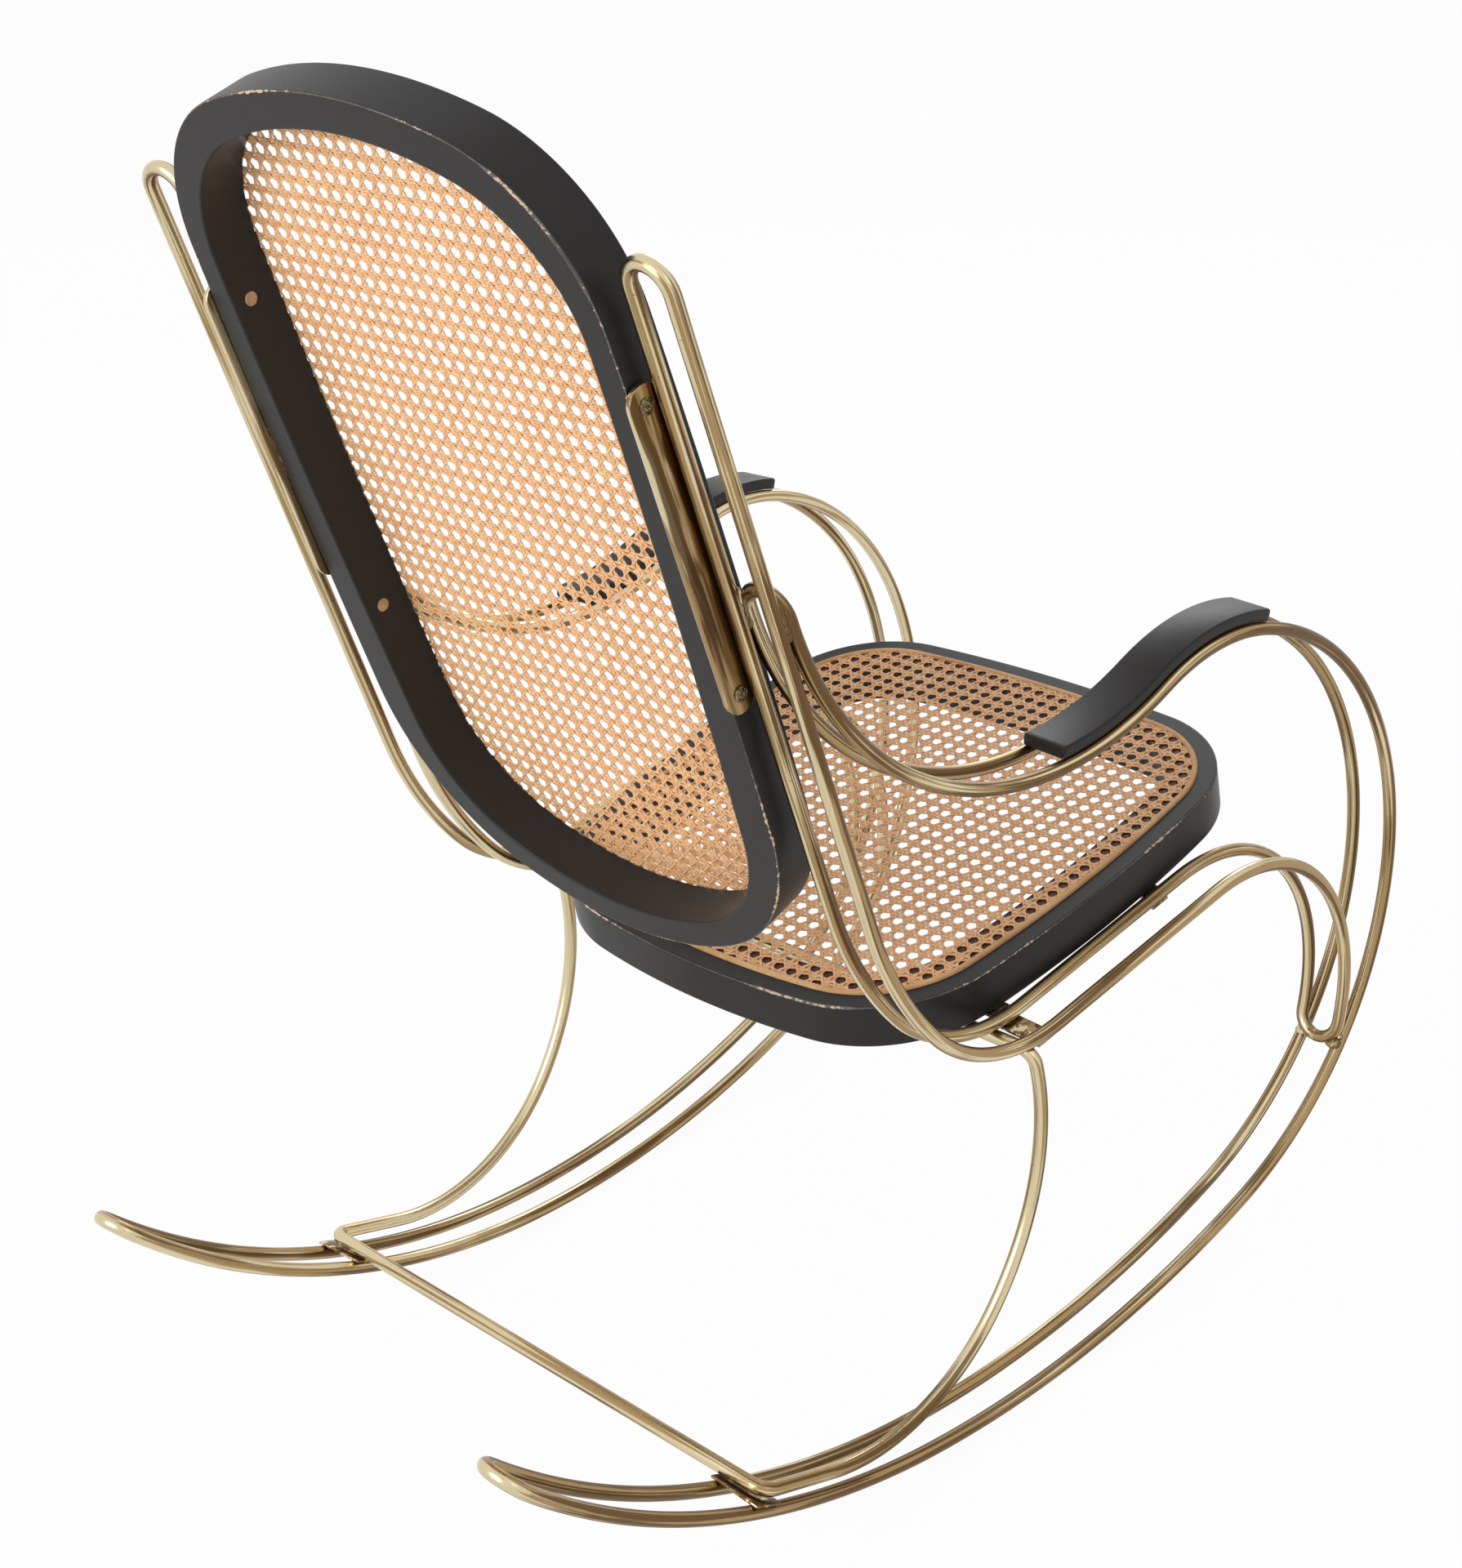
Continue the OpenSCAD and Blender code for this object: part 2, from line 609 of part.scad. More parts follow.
// Edge of a strip that follows a run, at a distance to the right of it
function beside(pose, seg, from, to, d) =
  let (n = ceil(abs(to - from) / 2))
  [for (i = [0:n]) let (q = step(pose, [seg[0], from + (to - from) * i / n])) at(q) + d * unit(q[2] - 90)];
function arm_edge(d) =
  let (p = poses(runner_start, runner_run))
  concat(beside(p[0], runner_run[0], -arm_from, -arm_rear_a, d), beside(p[2], runner_run[2], 0, arm_to, d));
// Armrest, a board bent to the arm and lying on its rods
module armrest(left) {
  low = arm_edge(rod_r + joint_gap);
  top = arm_edge(rod_r + joint_gap + arm_t);
  color(black) side(left) translate([0, 0, -arm_w / 2]) linear_extrude(arm_w)
    polygon(concat(low, [for (i = [len(top) - 1:-1:0]) top[i]]));
}

// Screw along +z, with the underside of its head at z = 0 and its shank below
module screw() {
  translate([0, 0, -screw_len]) cylinder(d = screw_d, h = screw_len, $fn = round_fn);
  difference() {
    cylinder(d = screw_head_d, h = screw_head_h, $fn = round_fn);
    for (a = [0, 90])
      rotate([0, 0, a]) translate([-screw_head_d / 4, -recess_w / 2, screw_head_h / 2])
        cube([screw_head_d / 2, recess_w, screw_head_h]);
  }
}

// Back bracket, between the frame's side and the inner rod of the upright
bracket_y = upright_y - bracket_front;
bracket_x = back_half_w + joint_gap;
module bracket_hole_axes(left) {
  lean() mirror([left ? 0 : 1, 0, 0])
    for (s = [-1, 1])
      translate([bracket_x + bracket_t, bracket_screw_y, bracket_z + s * bracket_screw_z])
        rotate([0, 90, 0]) children();
}
module back_bracket(left) {
  half = bracket_len / 2 - bracket_w / 2;
  color(brass) difference() {
    lean() mirror([left ? 0 : 1, 0, 0]) translate([bracket_x, bracket_y + bracket_w / 2, bracket_z])
      rotate([90, 0, 90]) linear_extrude(bracket_t) {
        square([bracket_w, 2 * half], center = true);
        for (s = [-1, 1])
          translate([0, s * half]) circle(d = bracket_w, $fn = 2 * round_fn);
      }
    back_screw_holes(left);
  }
}
// Holes for the screws, through the bracket and into the wood
module back_screw_holes(left) {
  bracket_hole_axes(left) translate([0, 0, -screw_len - screw_gap])
    cylinder(d = screw_d + 2 * screw_gap, h = screw_len + 1, $fn = round_fn);
}
module back_screws(left) {
  color(steel) bracket_hole_axes(left) screw();
}
// Plugs in the inner faces of the back frame
module plug_set(left, d, depth, proud) {
  lean() mirror([left ? 0 : 1, 0, 0])
    for (z = [plug_high, plug_low])
      translate([half_width_at(back_hole, z) - proud, plug_y + cane_t / 2, z]) rotate([0, 90, 0])
        cylinder(d = d, h = depth + proud, $fn = round_fn);
}
module back_plugs(left) {
  color(reed) plug_set(left, plug_d, plug_depth - screw_gap, plug_proud);
}

// Seat bracket: flat under the rods, up beside the inner rod, and flat under the wood
pad_top = seat_rise - joint_gap;
function bracket_pose(along) = step(rail_start, [0, along]);
module seat_bracket(left, along, reach) {
  plate = seat_bracket_t;
  low = rod_r + joint_gap;
  color(brass) difference() {
    side(left) at_pose(bracket_pose(along)) translate([-seat_bracket_w / 2, 0, 0]) {
      translate([0, low, riser_w - plate]) cube([seat_bracket_w, plate, reach - riser_w + plate]);
      translate([0, -pad_top, riser_w - plate]) cube([seat_bracket_w, low + plate + pad_top, plate]);
      translate([0, -pad_top, riser_w - seat_bracket_foot])
        cube([seat_bracket_w, plate, seat_bracket_foot]);
    }
    seat_screw_axis(left, along) translate([0, 0, -1])
      cylinder(d = screw_d + 2 * screw_gap, h = plate + 2, $fn = round_fn);
  }
}
// Axis of a seat screw, from the bracket's lower face up into the wood
module seat_screw_axis(left, along) {
  side(left) at_pose(bracket_pose(along))
    translate([0, seat_bracket_t - pad_top, riser_w - seat_bracket_screw]) rotate([90, 0, 0]) children();
}
module seat_screw_holes() {
  for (left = [false, true], along = [seat_bracket_rear, seat_bracket_front])
    seat_screw_axis(left, along)
      cylinder(d = screw_d + 2 * screw_gap, h = screw_len + screw_gap, $fn = round_fn);
}
module seat_screws() {
  color(steel)
    for (left = [false, true], along = [seat_bracket_rear, seat_bracket_front])
      seat_screw_axis(left, along) rotate([180, 0, 0]) screw();
}
rear_reach = rod_gap / 2;
front_reach = -rod_gap / 2 + rod_r / 2;

// Plate across the two rods of a runner, under the end of the crossbar
module on_runner_plate(left) {
  side(left) at_pose(bar_pose) children();
}
module runner_plate(left) {
  wide = rod_gap + rod_d;
  color(brass) difference() {
    on_runner_plate(left) translate([-runner_plate_front, rod_r + joint_gap, -wide / 2])
      cube([runner_plate_front + runner_plate_rear, runner_plate_t, wide]);
    on_rivet(left) translate([0, 0, -runner_plate_t - 1])
      cylinder(d = rivet_d + 2 * screw_gap, h = runner_plate_t + 2, $fn = round_fn);
  }
}
// Rivet's axis, with z = 0 on the upper face of the plate, above the inner rod
module on_rivet(left) {
  on_runner_plate(left) translate([-rivet_front, rod_r + joint_gap + runner_plate_t, -rod_gap / 2])
    rotate([-90, 0, 0]) children();
}
module rivet_hole(left) {
  on_rivet(left) translate([0, 0, -runner_plate_t - rivet_depth])
    cylinder(d = rivet_d + 2 * screw_gap, h = runner_plate_t + rivet_depth, $fn = round_fn);
}
module runner_rivets() {
  color(dark)
    for (left = [false, true])
      on_rivet(left) {
        translate([0, 0, -runner_plate_t - rivet_depth + screw_gap])
          cylinder(d = rivet_d, h = runner_plate_t + rivet_depth - screw_gap, $fn = round_fn);
        cylinder(d = rivet_head_d, h = rivet_head_h, $fn = round_fn);
      }
}

back_frame();
back_cane();
back_spline();
seat_frame();
seat_cane();
seat_spline();
armrest(true);  // armrest_left
armrest(false);  // armrest_right
runner_loop(true);  // runner_loop_left
runner_loop(false);  // runner_loop_right
upright_loop(true);  // upright_loop_left
upright_loop(false);  // upright_loop_right
leg_loop();
back_bracket(true);  // back_bracket_left
back_bracket(false);  // back_bracket_right
back_screws(true);  // back_screws_left
back_screws(false);  // back_screws_right
back_plugs(true);  // back_plugs_left
back_plugs(false);  // back_plugs_right
seat_bracket(true, seat_bracket_rear, rear_reach);  // seat_bracket_rear_left
seat_bracket(false, seat_bracket_rear, rear_reach);  // seat_bracket_rear_right
seat_bracket(true, seat_bracket_front, front_reach);  // seat_bracket_front_left
seat_bracket(false, seat_bracket_front, front_reach);  // seat_bracket_front_right
seat_screws();
runner_plate(true);  // runner_plate_left
runner_plate(false);  // runner_plate_right
runner_rivets();
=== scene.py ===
"""Brass and cane rocking chair: its looks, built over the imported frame.

Lengths that repeat the part's own sizes are in millimetres and in the chair's own axes:
x to the sitter's left, y rearwards from the cane of the back, z up along the back.
"""

import math
import random

import bmesh
import bpy
from bpy.props import FloatProperty, FloatVectorProperty, IntProperty, PointerProperty
from mathutils import Matrix, Vector


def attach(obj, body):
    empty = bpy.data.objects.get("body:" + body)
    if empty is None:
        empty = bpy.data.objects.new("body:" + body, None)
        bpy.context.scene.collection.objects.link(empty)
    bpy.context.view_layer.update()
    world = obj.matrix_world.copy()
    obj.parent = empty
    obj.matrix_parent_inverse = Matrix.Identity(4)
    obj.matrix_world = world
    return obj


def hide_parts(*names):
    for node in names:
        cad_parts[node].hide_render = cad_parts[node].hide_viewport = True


bl_info = {
    "name": "Brass and cane rocking chair",
    "version": (1, 0, 0),
    "blender": (4, 5, 0),
    "location": "3D View > Sidebar > Rocker",
    "description": "Dresses the packed rocking chair in brass, black wood and woven cane",
    "category": "Object",
}

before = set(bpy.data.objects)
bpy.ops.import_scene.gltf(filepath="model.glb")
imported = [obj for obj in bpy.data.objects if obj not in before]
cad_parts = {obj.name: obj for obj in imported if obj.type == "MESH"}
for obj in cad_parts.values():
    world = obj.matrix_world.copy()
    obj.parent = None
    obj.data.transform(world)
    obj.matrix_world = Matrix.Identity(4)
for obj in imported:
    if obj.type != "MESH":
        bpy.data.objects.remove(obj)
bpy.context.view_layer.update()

MM = 0.001
SIDES = ((True, "left"), (False, "right"))

# How the chair's own axes lie in the frame, and the side frames and the seat in those axes
RECLINE = math.radians(19)
TOE = math.radians(3.1)
SEAT_TILT = math.radians(8.2)
SIDE_X = 227.385
MOVE_Y, MOVE_Z = 232.5255, 761.931
SEAT_BASE = (-227.388, -529.169)

ROD_D = 10.4
ROD_GAP = 35.0
JOINT_GAP = 0.3
HALF_GAP = ROD_GAP / 2
# From the middle of a rod to what lies against it
CLEAR = ROD_D / 2 + JOINT_GAP

# Runs of the rods as [radius, degrees] bends and [0, length] straights, from a [y, z, heading] pose
RUNNER_START = (9.8, -62.0, -90.0)
RUNNER_RUN = [(274, -94.5), (0, 9), (179, 40.2), (265, 68.9), (262, 76.7), (850, 24.8), (648, 37.6)]
UPRIGHT_START = (20.5, 170.5, -90.0)
UPRIGHT_RUN = [(0, 480), (305, -23.1), (143, -58.7), (0, 188), (155.24, 57.5685), (159.961, 56.1315)]
LEG_START = (-84.144, -530.226, -86.2)
LEG_RUN = [(205.95, 54.8934), (156.203, 68.8066), (0, 58)]
LEG_TOP_HEADING, LEG_LOW_HEADING = 86.2, 37.5
LEG_CORNER_R = 12.0
BAR_POSE = (256.856, -650.191, 43.1)
FOOT_WELD = (-405.3, -796.8, -33.3)
RAIL_START = (-115.093, -514.597, -171.8)

# An armrest begins some way along the runner loop. Its last sections lie this far from its end, and are this
# much smaller, which rounds the end
ARMREST_SKIP = (274, -71.5)
ARMREST_RUN = [(274, -23.0), (0, 9), (179, 38.8)]
ARMREST_EDGE_R = 1.8
ARMREST_ENDS = ((0.0, 1.6), (0.45, 0.5), (1.6, 0.0))

# Half width, widest at, side radius, top, top radius, top corner, bottom, bottom radius, bottom corner
BACK_OUTLINE = (199, -37, 6500, 275.5, 368, 125, -391, 253, 158)
BACK_HOLE = (176, 110, 5800, 250, 303, 109, -368, 246, 118)
SEAT_OUTLINE = (218, -56, 1250, 234, 718, 115, -222, 1345, 100)
BACK_DEPTH, SEAT_DEPTH, SEAT_RING_W = 37.0, 35.5, 40.0
BACK_BAND, SEAT_BAND = 9.0, 15.0
GROOVE_W, GROOVE_DEPTH, CANE_T = 5.0, 6.0, 1.8
# Spots of 300 round each ring between which its edge has been knocked, and how much more it is worn there
BACK_KNOCK, SEAT_KNOCK, KNOCK_WEAR = (262, 276), (272, 287), 1.35

# The spline is a little narrower than its groove and stands proud of the wood. Half its section goes in from
# its side and down from its crown
SPLINE_PLAY, SPLINE_RISE = 0.2, 2.4
SPLINE_SHOULDER = ((0.0, 5.4), (0.0, 1.5), (0.35, 0.6), (1.1, 0.15))

# Where a crossing of two pairs lies on each sheet, and how far the weave is turned
BACK_WEAVE = ((0.0, 6.35), 0.0)
SEAT_WEAVE = ((-126.23 + 6.35, 2.7 + 6.35), -2.6)
# The cane ends this far into its groove, and a shorter strand than this isn't laid
CANE_TUCK, SHORTEST_STRAND = 4.0, 6.0
# The four sets of strands draw their tones from this seed and the next three
FIRST_SEED = 11

# The back's brackets: their size, their middle, and how far above and below it the screws are
BRACKET_LENGTH, BRACKET_W, BRACKET_T = 240, 25, 4.0
BRACKET_X, BRACKET_Y, BRACKET_Z = BACK_OUTLINE[0] + JOINT_GAP, 31.0, -10.0
BRACKET_SCREW = 106
# A runner plate's front and rear edge and its rivet, measured along the runner from the crossbar
RUNNER_PLATE, RUNNER_PLATE_T, RIVET_AT = (-17, 8), 2.0, -11
# A strap's place along the rail, and how far outwards it reaches under the rods
STRAPS = (("rear", -14.0, HALF_GAP), ("front", 160.0, -HALF_GAP + ROD_D / 4))
STRAP_T, STRAP_W, STRAP_REACH, STRAP_TOP = 2.5, 18.0, 34.0, 0.9
STRAP_RISER = -HALF_GAP - CLEAR
# How far inside the riser a strap's screw is
STRAP_SCREW = 22.0
# Height of each pair of plugs, and the half width of the hole there
PLUGS, PLUG_Y = ((98.0, 175.988), (-157.0, 169.851)), 22.5 + CANE_T / 2
# Beads of the arm loop's weld, from its round end down: rearwards, up, and in from the rod's middle
ARM_BEADS = ((15.0, -51.0, 1.6), (15.2, -57.0, 0.3), (15.2, -63.0, 0.0), (14.6, -69.0, 0.0))
FOOT_BEAD_W, FOOT_BEAD_REACH = 15.4, 3.0

# How finely the shapes are drawn: millimetres along rods and armrests, then steps of bends, rings and heads
ROD_STEP, ARMREST_STEP = 7.0, 5.0
TURN_STEPS, LEG_CORNER_STEPS, CROSS_STEPS = 14, 8, 24
RING_STEPS, SPLINE_STEPS, SHEET_STEPS, EDGE_STEPS, HEAD_STEPS = 150, 140, 160, 4, 24

# How far each kind of brass piece has gone from bright to brown, 0 to 1. This is part tarnish and part
# painted shade: the runners and the plates are made browner for the shade under the seat and on faces turned
# from the lamps
AGE_AND_SHADE = {"runner": 0.68, "upright": 0.34, "leg": 0.15, "plate": 0.95}


def srgb(text):
    """Linear colour of an sRGB hex value."""
    parts = [int(text[i : i + 2], 16) / 255 for i in (1, 3, 5)]
    return tuple(p / 12.92 if p <= 0.04045 else ((p + 0.055) / 1.055) ** 2.4 for p in parts)


# Sizes and colours that a user would change


class RockerRods(bpy.types.PropertyGroup):
    """The bent brass rods."""

    diameter: FloatProperty(
        name="Rod diameter", description="Thickness of the round rod", default=ROD_D * MM, unit="LENGTH"
    )
    sides: IntProperty(name="Rod sides", description="Faces round the rod", default=20, min=8, max=48)
    polish: FloatProperty(
        name="Roughness", description="Roughness of the polished rod", default=0.2, subtype="FACTOR"
    )
    # Also the colour of the painted highlight bands on the brass
    bright: FloatVectorProperty(
        name="Bright brass", description="Brass that hands keep clean",
        default=srgb("#DFD1AC"), size=3, subtype="COLOR",
    )
    brass: FloatVectorProperty(
        name="Brass", description="Dull lacquered brass", default=srgb("#AD9168"), size=3, subtype="COLOR"
    )
    # Also the colour of the painted shade and dark reflection bands on the brass
    tarnish: FloatVectorProperty(
        name="Tarnish", description="Brown tarnish along the rod",
        default=srgb("#573C1F"), size=3, subtype="COLOR",
    )


class RockerWood(bpy.types.PropertyGroup):
    """The black wooden rings and armrests."""

    edge: FloatProperty(
        name="Edge rounding", description="Radius of the rings' edges", default=1.4 * MM, unit="LENGTH"
    )
    paint: FloatVectorProperty(
        name="Paint", description="Satin black paint", default=srgb("#292827"), size=3, subtype="COLOR"
    )
    bare: FloatVectorProperty(
        name="Bare wood", description="Wood where the paint is worn off",
        default=srgb("#CDB093"), size=3, subtype="COLOR",
    )


class RockerCane(bpy.types.PropertyGroup):
    """The woven cane."""

    pitch: FloatProperty(
        name="Weave spacing", description="Distance from one open hole to the next",
        default=12.7 * MM, unit="LENGTH",
    )
    pair: FloatProperty(
        name="Pair spacing", description="Distance between the two strands of a pair",
        default=2.65 * MM, unit="LENGTH",
    )
    width: FloatProperty(
        name="Strand width", description="Width of the straight strands", default=2.45 * MM, unit="LENGTH"
    )
    cross: FloatProperty(
        name="Cross strand width", description="Width of the diagonal strands",
        default=1.8 * MM, unit="LENGTH",
    )
    thick: FloatProperty(
        name="Strand thickness", description="Thickness of a strand", default=0.6 * MM, unit="LENGTH"
    )
    light: FloatVectorProperty(
        name="Light cane", description="Palest strands", default=srgb("#F2C592"), size=3, subtype="COLOR"
    )
    deep: FloatVectorProperty(
        name="Deep cane", description="Darkest strands", default=srgb("#DB9C68"), size=3, subtype="COLOR"
    )


class RockerHardware(bpy.types.PropertyGroup):
    """Screws, rivets, plugs and weld beads."""

    screw_head: FloatProperty(
        name="Screw head", description="Diameter of a screw's head", default=8 * MM, unit="LENGTH"
    )
    cup: FloatProperty(
        name="Cup washer", description="Diameter of the back screws' washers", default=11 * MM, unit="LENGTH"
    )
    bead: FloatProperty(
        name="Weld bead", description="Size of a weld bead", default=4.4 * MM, unit="LENGTH"
    )
    plug: FloatProperty(
        name="Plug diameter", description="Diameter of the wooden plugs", default=10 * MM, unit="LENGTH"
    )


class RockerStage(bpy.types.PropertyGroup):
    """Floor, lamps and camera."""

    floor: FloatVectorProperty(
        name="Floor", description="Plain pale floor", default=srgb("#FAFAF9"), size=3, subtype="COLOR"
    )
    world: FloatProperty(name="World light", description="Strength of the even light", default=0.56)
    lamps: FloatProperty(name="Lamp light", description="Share of full strength of the lamps", default=1.0)


# Placing


def lean(x, y, z):
    """Point in the chair's own axes, in millimetres, as a point of the frame, in metres."""
    c, s = math.cos(RECLINE), math.sin(RECLINE)
    return Vector((x, y * c + z * s + MOVE_Y, -y * s + z * c + MOVE_Z)) * MM


def beside(u, v, w):
    """Point of the left side frame in the chair's own axes: u rearwards and v up in its plane, w outwards
    from its middle."""
    c, s = math.cos(TOE), math.sin(TOE)
    return (SIDE_X + w * c - u * s, w * s + u * c, v)


def side(u, v, w, left):
    """Point of a side frame as a point of the frame, in metres."""
    x, y, z = beside(u, v, w)
    return lean(x if left else -x, y, z)


def from_pose(pose, along, off, w, left):
    """Point of a side frame that lies some way along a pose's heading, off to its left, and outwards by w."""
    a = math.radians(pose[2])
    c, s = math.cos(a), math.sin(a)
    return side(pose[0] + along * c - off * s, pose[1] + along * s + off * c, w, left)


def direction_of(left, a, b):
    """Direction between two points of a side frame."""
    return (side(*b, left) - side(*a, left)).normalized()


def on_back(x, y, z):
    """Point on the back: y up, z rearwards from the front face of the wood."""
    return lean(x, z + CANE_T / 2, y)


def on_seat(x, y, z):
    """Point on the seat: y rearwards, z down from the top face of the wood."""
    h = SEAT_DEPTH - z
    c, s = math.cos(SEAT_TILT), math.sin(SEAT_TILT)
    return lean(x, SEAT_BASE[0] + y * c - h * s, SEAT_BASE[1] + y * s + h * c)


def turned(vector, degrees):
    """Vector in a plane, turned anticlockwise."""
    c, s = math.cos(math.radians(degrees)), math.sin(math.radians(degrees))
    return (vector[0] * c - vector[1] * s, vector[0] * s + vector[1] * c)


def step(pose, seg):
    """Pose at the end of one bend or straight."""
    y, z, heading = pose
    a = math.radians(heading)
    if seg[0] == 0:
        return (y + seg[1] * math.cos(a), z + seg[1] * math.sin(a), heading)
    sign = 1 if seg[1] > 0 else -1
    cy, cz = y - sign * seg[0] * math.sin(a), z + sign * seg[0] * math.cos(a)
    out = turned((y - cy, z - cz), seg[1])
    return (cy + out[0], cz + out[1], heading + seg[1])


def walk(pose, run, spacing):
    """Poses along a run at about the given spacing, both ends included."""
    found = [pose]
    for seg in run:
        length = seg[1] if seg[0] == 0 else seg[0] * math.radians(abs(seg[1]))
        n = max(1, round(length / spacing))
        found += [step(pose, (seg[0], seg[1] * (i + 1) / n)) for i in range(n)]
        pose = step(pose, seg)
    return found


def hairpin(start, run, left, begin_at_foot):
    """Closed centre line of a two-rod loop, in frame metres. It begins in the middle of a round end."""
    poses = walk(start, run, ROD_STEP)
    turns = [math.pi * i / TURN_STEPS for i in range(1, TURN_STEPS)]
    inner = [(p, 0, -HALF_GAP) for p in poses]
    foot = [(poses[-1], HALF_GAP * math.sin(t), -HALF_GAP * math.cos(t)) for t in turns]
    outer = [(p, 0, HALF_GAP) for p in reversed(poses)]
    head = [(poses[0], -HALF_GAP * math.sin(t), -HALF_GAP * math.cos(t)) for t in reversed(turns)]
    ring = inner + foot + outer + head
    k = len(inner) + len(foot) // 2 if begin_at_foot else len(ring) - len(head) // 2
    return [from_pose(p, along, 0, w, left) for p, along, w in ring[k:] + ring[:k]]


def leg_path():
    """Closed centre line of the leg loop, in frame metres."""

    def bend(p, heading):
        """Points from a leg's end round its corner, into the rod that crosses the chair."""
        h = math.radians(heading)
        along = Vector((-math.cos(h) * math.sin(TOE), math.cos(h) * math.cos(TOE), math.sin(h)))
        across = Vector((-1, 0, 0))
        normal = (across - across.dot(along) * along).normalized()
        turn = math.acos(math.cos(h) * math.sin(TOE))
        angles = [turn * i / LEG_CORNER_STEPS for i in range(1, LEG_CORNER_STEPS + 1)]
        return [p + LEG_CORNER_R * (math.sin(t) * along + (1 - math.cos(t)) * normal) for t in angles]

    leg = [Vector(beside(p[0], p[1], HALF_GAP)) for p in walk(LEG_START, LEG_RUN, ROD_STEP)]
    top = bend(leg[0], 180 - LEG_TOP_HEADING)
    low = bend(leg[-1], LEG_LOW_HEADING)
    half = list(reversed(top)) + leg + low
    cross = [Vector((x, low[-1].y, low[-1].z)) for x in ladder(low[-1].x)]
    upper = [Vector((-x, top[-1].y, top[-1].z)) for x in ladder(top[-1].x)]
    other = [Vector((-p.x, p.y, p.z)) for p in reversed(half)]
    ring = half + cross + other + upper
    k = len(ring) - len(upper) // 2
    return [lean(*p) for p in ring[k:] + ring[:k]]


def ladder(x):
    """Steps strictly between x and -x."""
    return [x - 2 * x * i / CROSS_STEPS for i in range(1, CROSS_STEPS)]


# Outlines


def meet(p, r, q, s, left):
    """Point at given distances from two others, on the left or right of the line between them."""
    dx, dy = q[0] - p[0], q[1] - p[1]
    d = math.hypot(dx, dy)
    a = (r * r - s * s + d * d) / (2 * d)
    h = left * math.sqrt(max(0.0, r * r - a * a))
    return (p[0] + (a * dx - h * dy) / d, p[1] + (a * dy + h * dx) / d)


def arcs(outline):
    """Bends of half an outline as (centre, radius, from, to), from the top's middle to the bottom's."""
    half, wide, side_r, top, top_r, top_c, low, low_r, low_c = outline
    flank, up, down = (half - side_r, wide), (0, top - top_r), (0, low + low_r)
    a = meet(flank, side_r - top_c, up, top_r - top_c, 1)
    b = meet(flank, side_r - low_c, down, low_r - low_c, -1)

    def angle(to, at):
        return math.atan2(to[1] - at[1], to[0] - at[0])

    a1, a2, a3, a4 = angle(a, up), angle(a, flank), angle(b, flank), angle(b, down)
    return [
        (up, top_r, math.pi / 2, a1),
        (a, top_c, a1, a2),
        (flank, side_r, a2, a3),
        (b, low_c, a3, a4),
        (down, low_r, a4, -math.pi / 2),
    ]


def trace(outline, count):
    """Spots evenly round an outline, count on each half, each as (centre, radius, angle, side)."""
    bends = arcs(outline)
    lengths = [r * (a - b) for _, r, a, b in bends]
    whole = sum(lengths)
    half = []
    for i in range(count + 1):
        left = whole * i / count
        for (c, r, a, b), length in zip(bends, lengths):
            if left <= length or (c, r, a, b) == bends[-1]:
                half.append((c, r, a - min(left, length) / r, 1))
                break
            left -= length
    return half + [(c, r, a, -1) for c, r, a, _ in reversed(half[1:-1])]


def spot(place, inset):
    """Point of a traced outline, moved in."""
    (cx, cy), r, a, sign = place
    return (sign * (cx + (r - inset) * math.cos(a)), cy + (r - inset) * math.sin(a))


# Each ring's outline, depth, band of wood outside the groove, and the plane it lies on
RINGS = {
    "back": (BACK_OUTLINE, BACK_DEPTH, BACK_BAND, on_back),
    "seat": (SEAT_OUTLINE, SEAT_DEPTH, SEAT_BAND, on_seat),
}


# Meshes


def make_object(name, mesh):
    """Object in the scene that shows a mesh."""
    obj = bpy.data.objects.new(name, mesh)
    bpy.context.scene.collection.objects.link(obj)
    return obj


def from_bmesh(name, bm, sharp=40):
    """Plain object from a bmesh, smooth but for the edges sharper than the given angle."""
    bmesh.ops.recalc_face_normals(bm, faces=bm.faces)
    mesh = bpy.data.meshes.new(name)
    bm.to_mesh(mesh)
    bm.free()
    mesh.polygons.foreach_set("use_smooth", [True] * len(mesh.polygons))
    mesh.set_sharp_from_angle(angle=math.radians(sharp))
    return make_object(name, mesh)


def finish_piece(obj, material, slot, *nodes):
    """Gives a piece its material, when one is given, puts it under the root, and hides the imported parts of
    the nodes it stands for.
    """
    if material is not None:
        obj.data.materials.clear()
        obj.data.materials.append(material)
    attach(obj, "root")
    if nodes:
        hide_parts(*nodes)


def wire(name, paths, closed, **marks):
    """Mesh of edges along paths, with float marks on its points."""
    mesh = bpy.data.meshes.new(name)
    points, edges = [], []
    for path in paths:
        first = len(points)
        points += [tuple(p) for p in path]
        edges += [(first + i, first + i + 1) for i in range(len(path) - 1)]
        if closed:
            edges.append((len(points) - 1, first))
    mesh.from_pydata(points, edges, [])
    for mark, values in marks.items():
        layer = mesh.attributes.new(mark, "FLOAT", "POINT")
        layer.data.foreach_set("value", values)
    return make_object(name, mesh)


def grown(obj, tree, **values):
    """Runs a node tree on an object and keeps the result as its plain mesh."""
    modifier = obj.modifiers.new(tree.name, "NODES")
    modifier.node_group = tree
    for item in tree.interface.items_tree:
        if item.item_type == "SOCKET" and item.in_out == "INPUT" and item.name in values:
            modifier[item.identifier] = values[item.name]
    bpy.context.view_layer.update()
    graph = bpy.context.evaluated_depsgraph_get()
    mesh = bpy.data.meshes.new_from_object(obj.evaluated_get(graph), depsgraph=graph)
    mesh.name = obj.name
    obj.modifiers.clear()
    old, obj.data = obj.data, mesh
    bpy.data.meshes.remove(old)
    return obj


def skin(bm, loops, close):
    """Faces between neighbouring loops of vertices, each closed on itself."""
    n = len(loops[0])
    for a, b in zip(loops, loops[1:] + loops[:1] if close else loops[1:]):
        for i in range(n):
            j = (i + 1) % n
            bm.faces.new((a[i], a[j], b[j], b[i]))


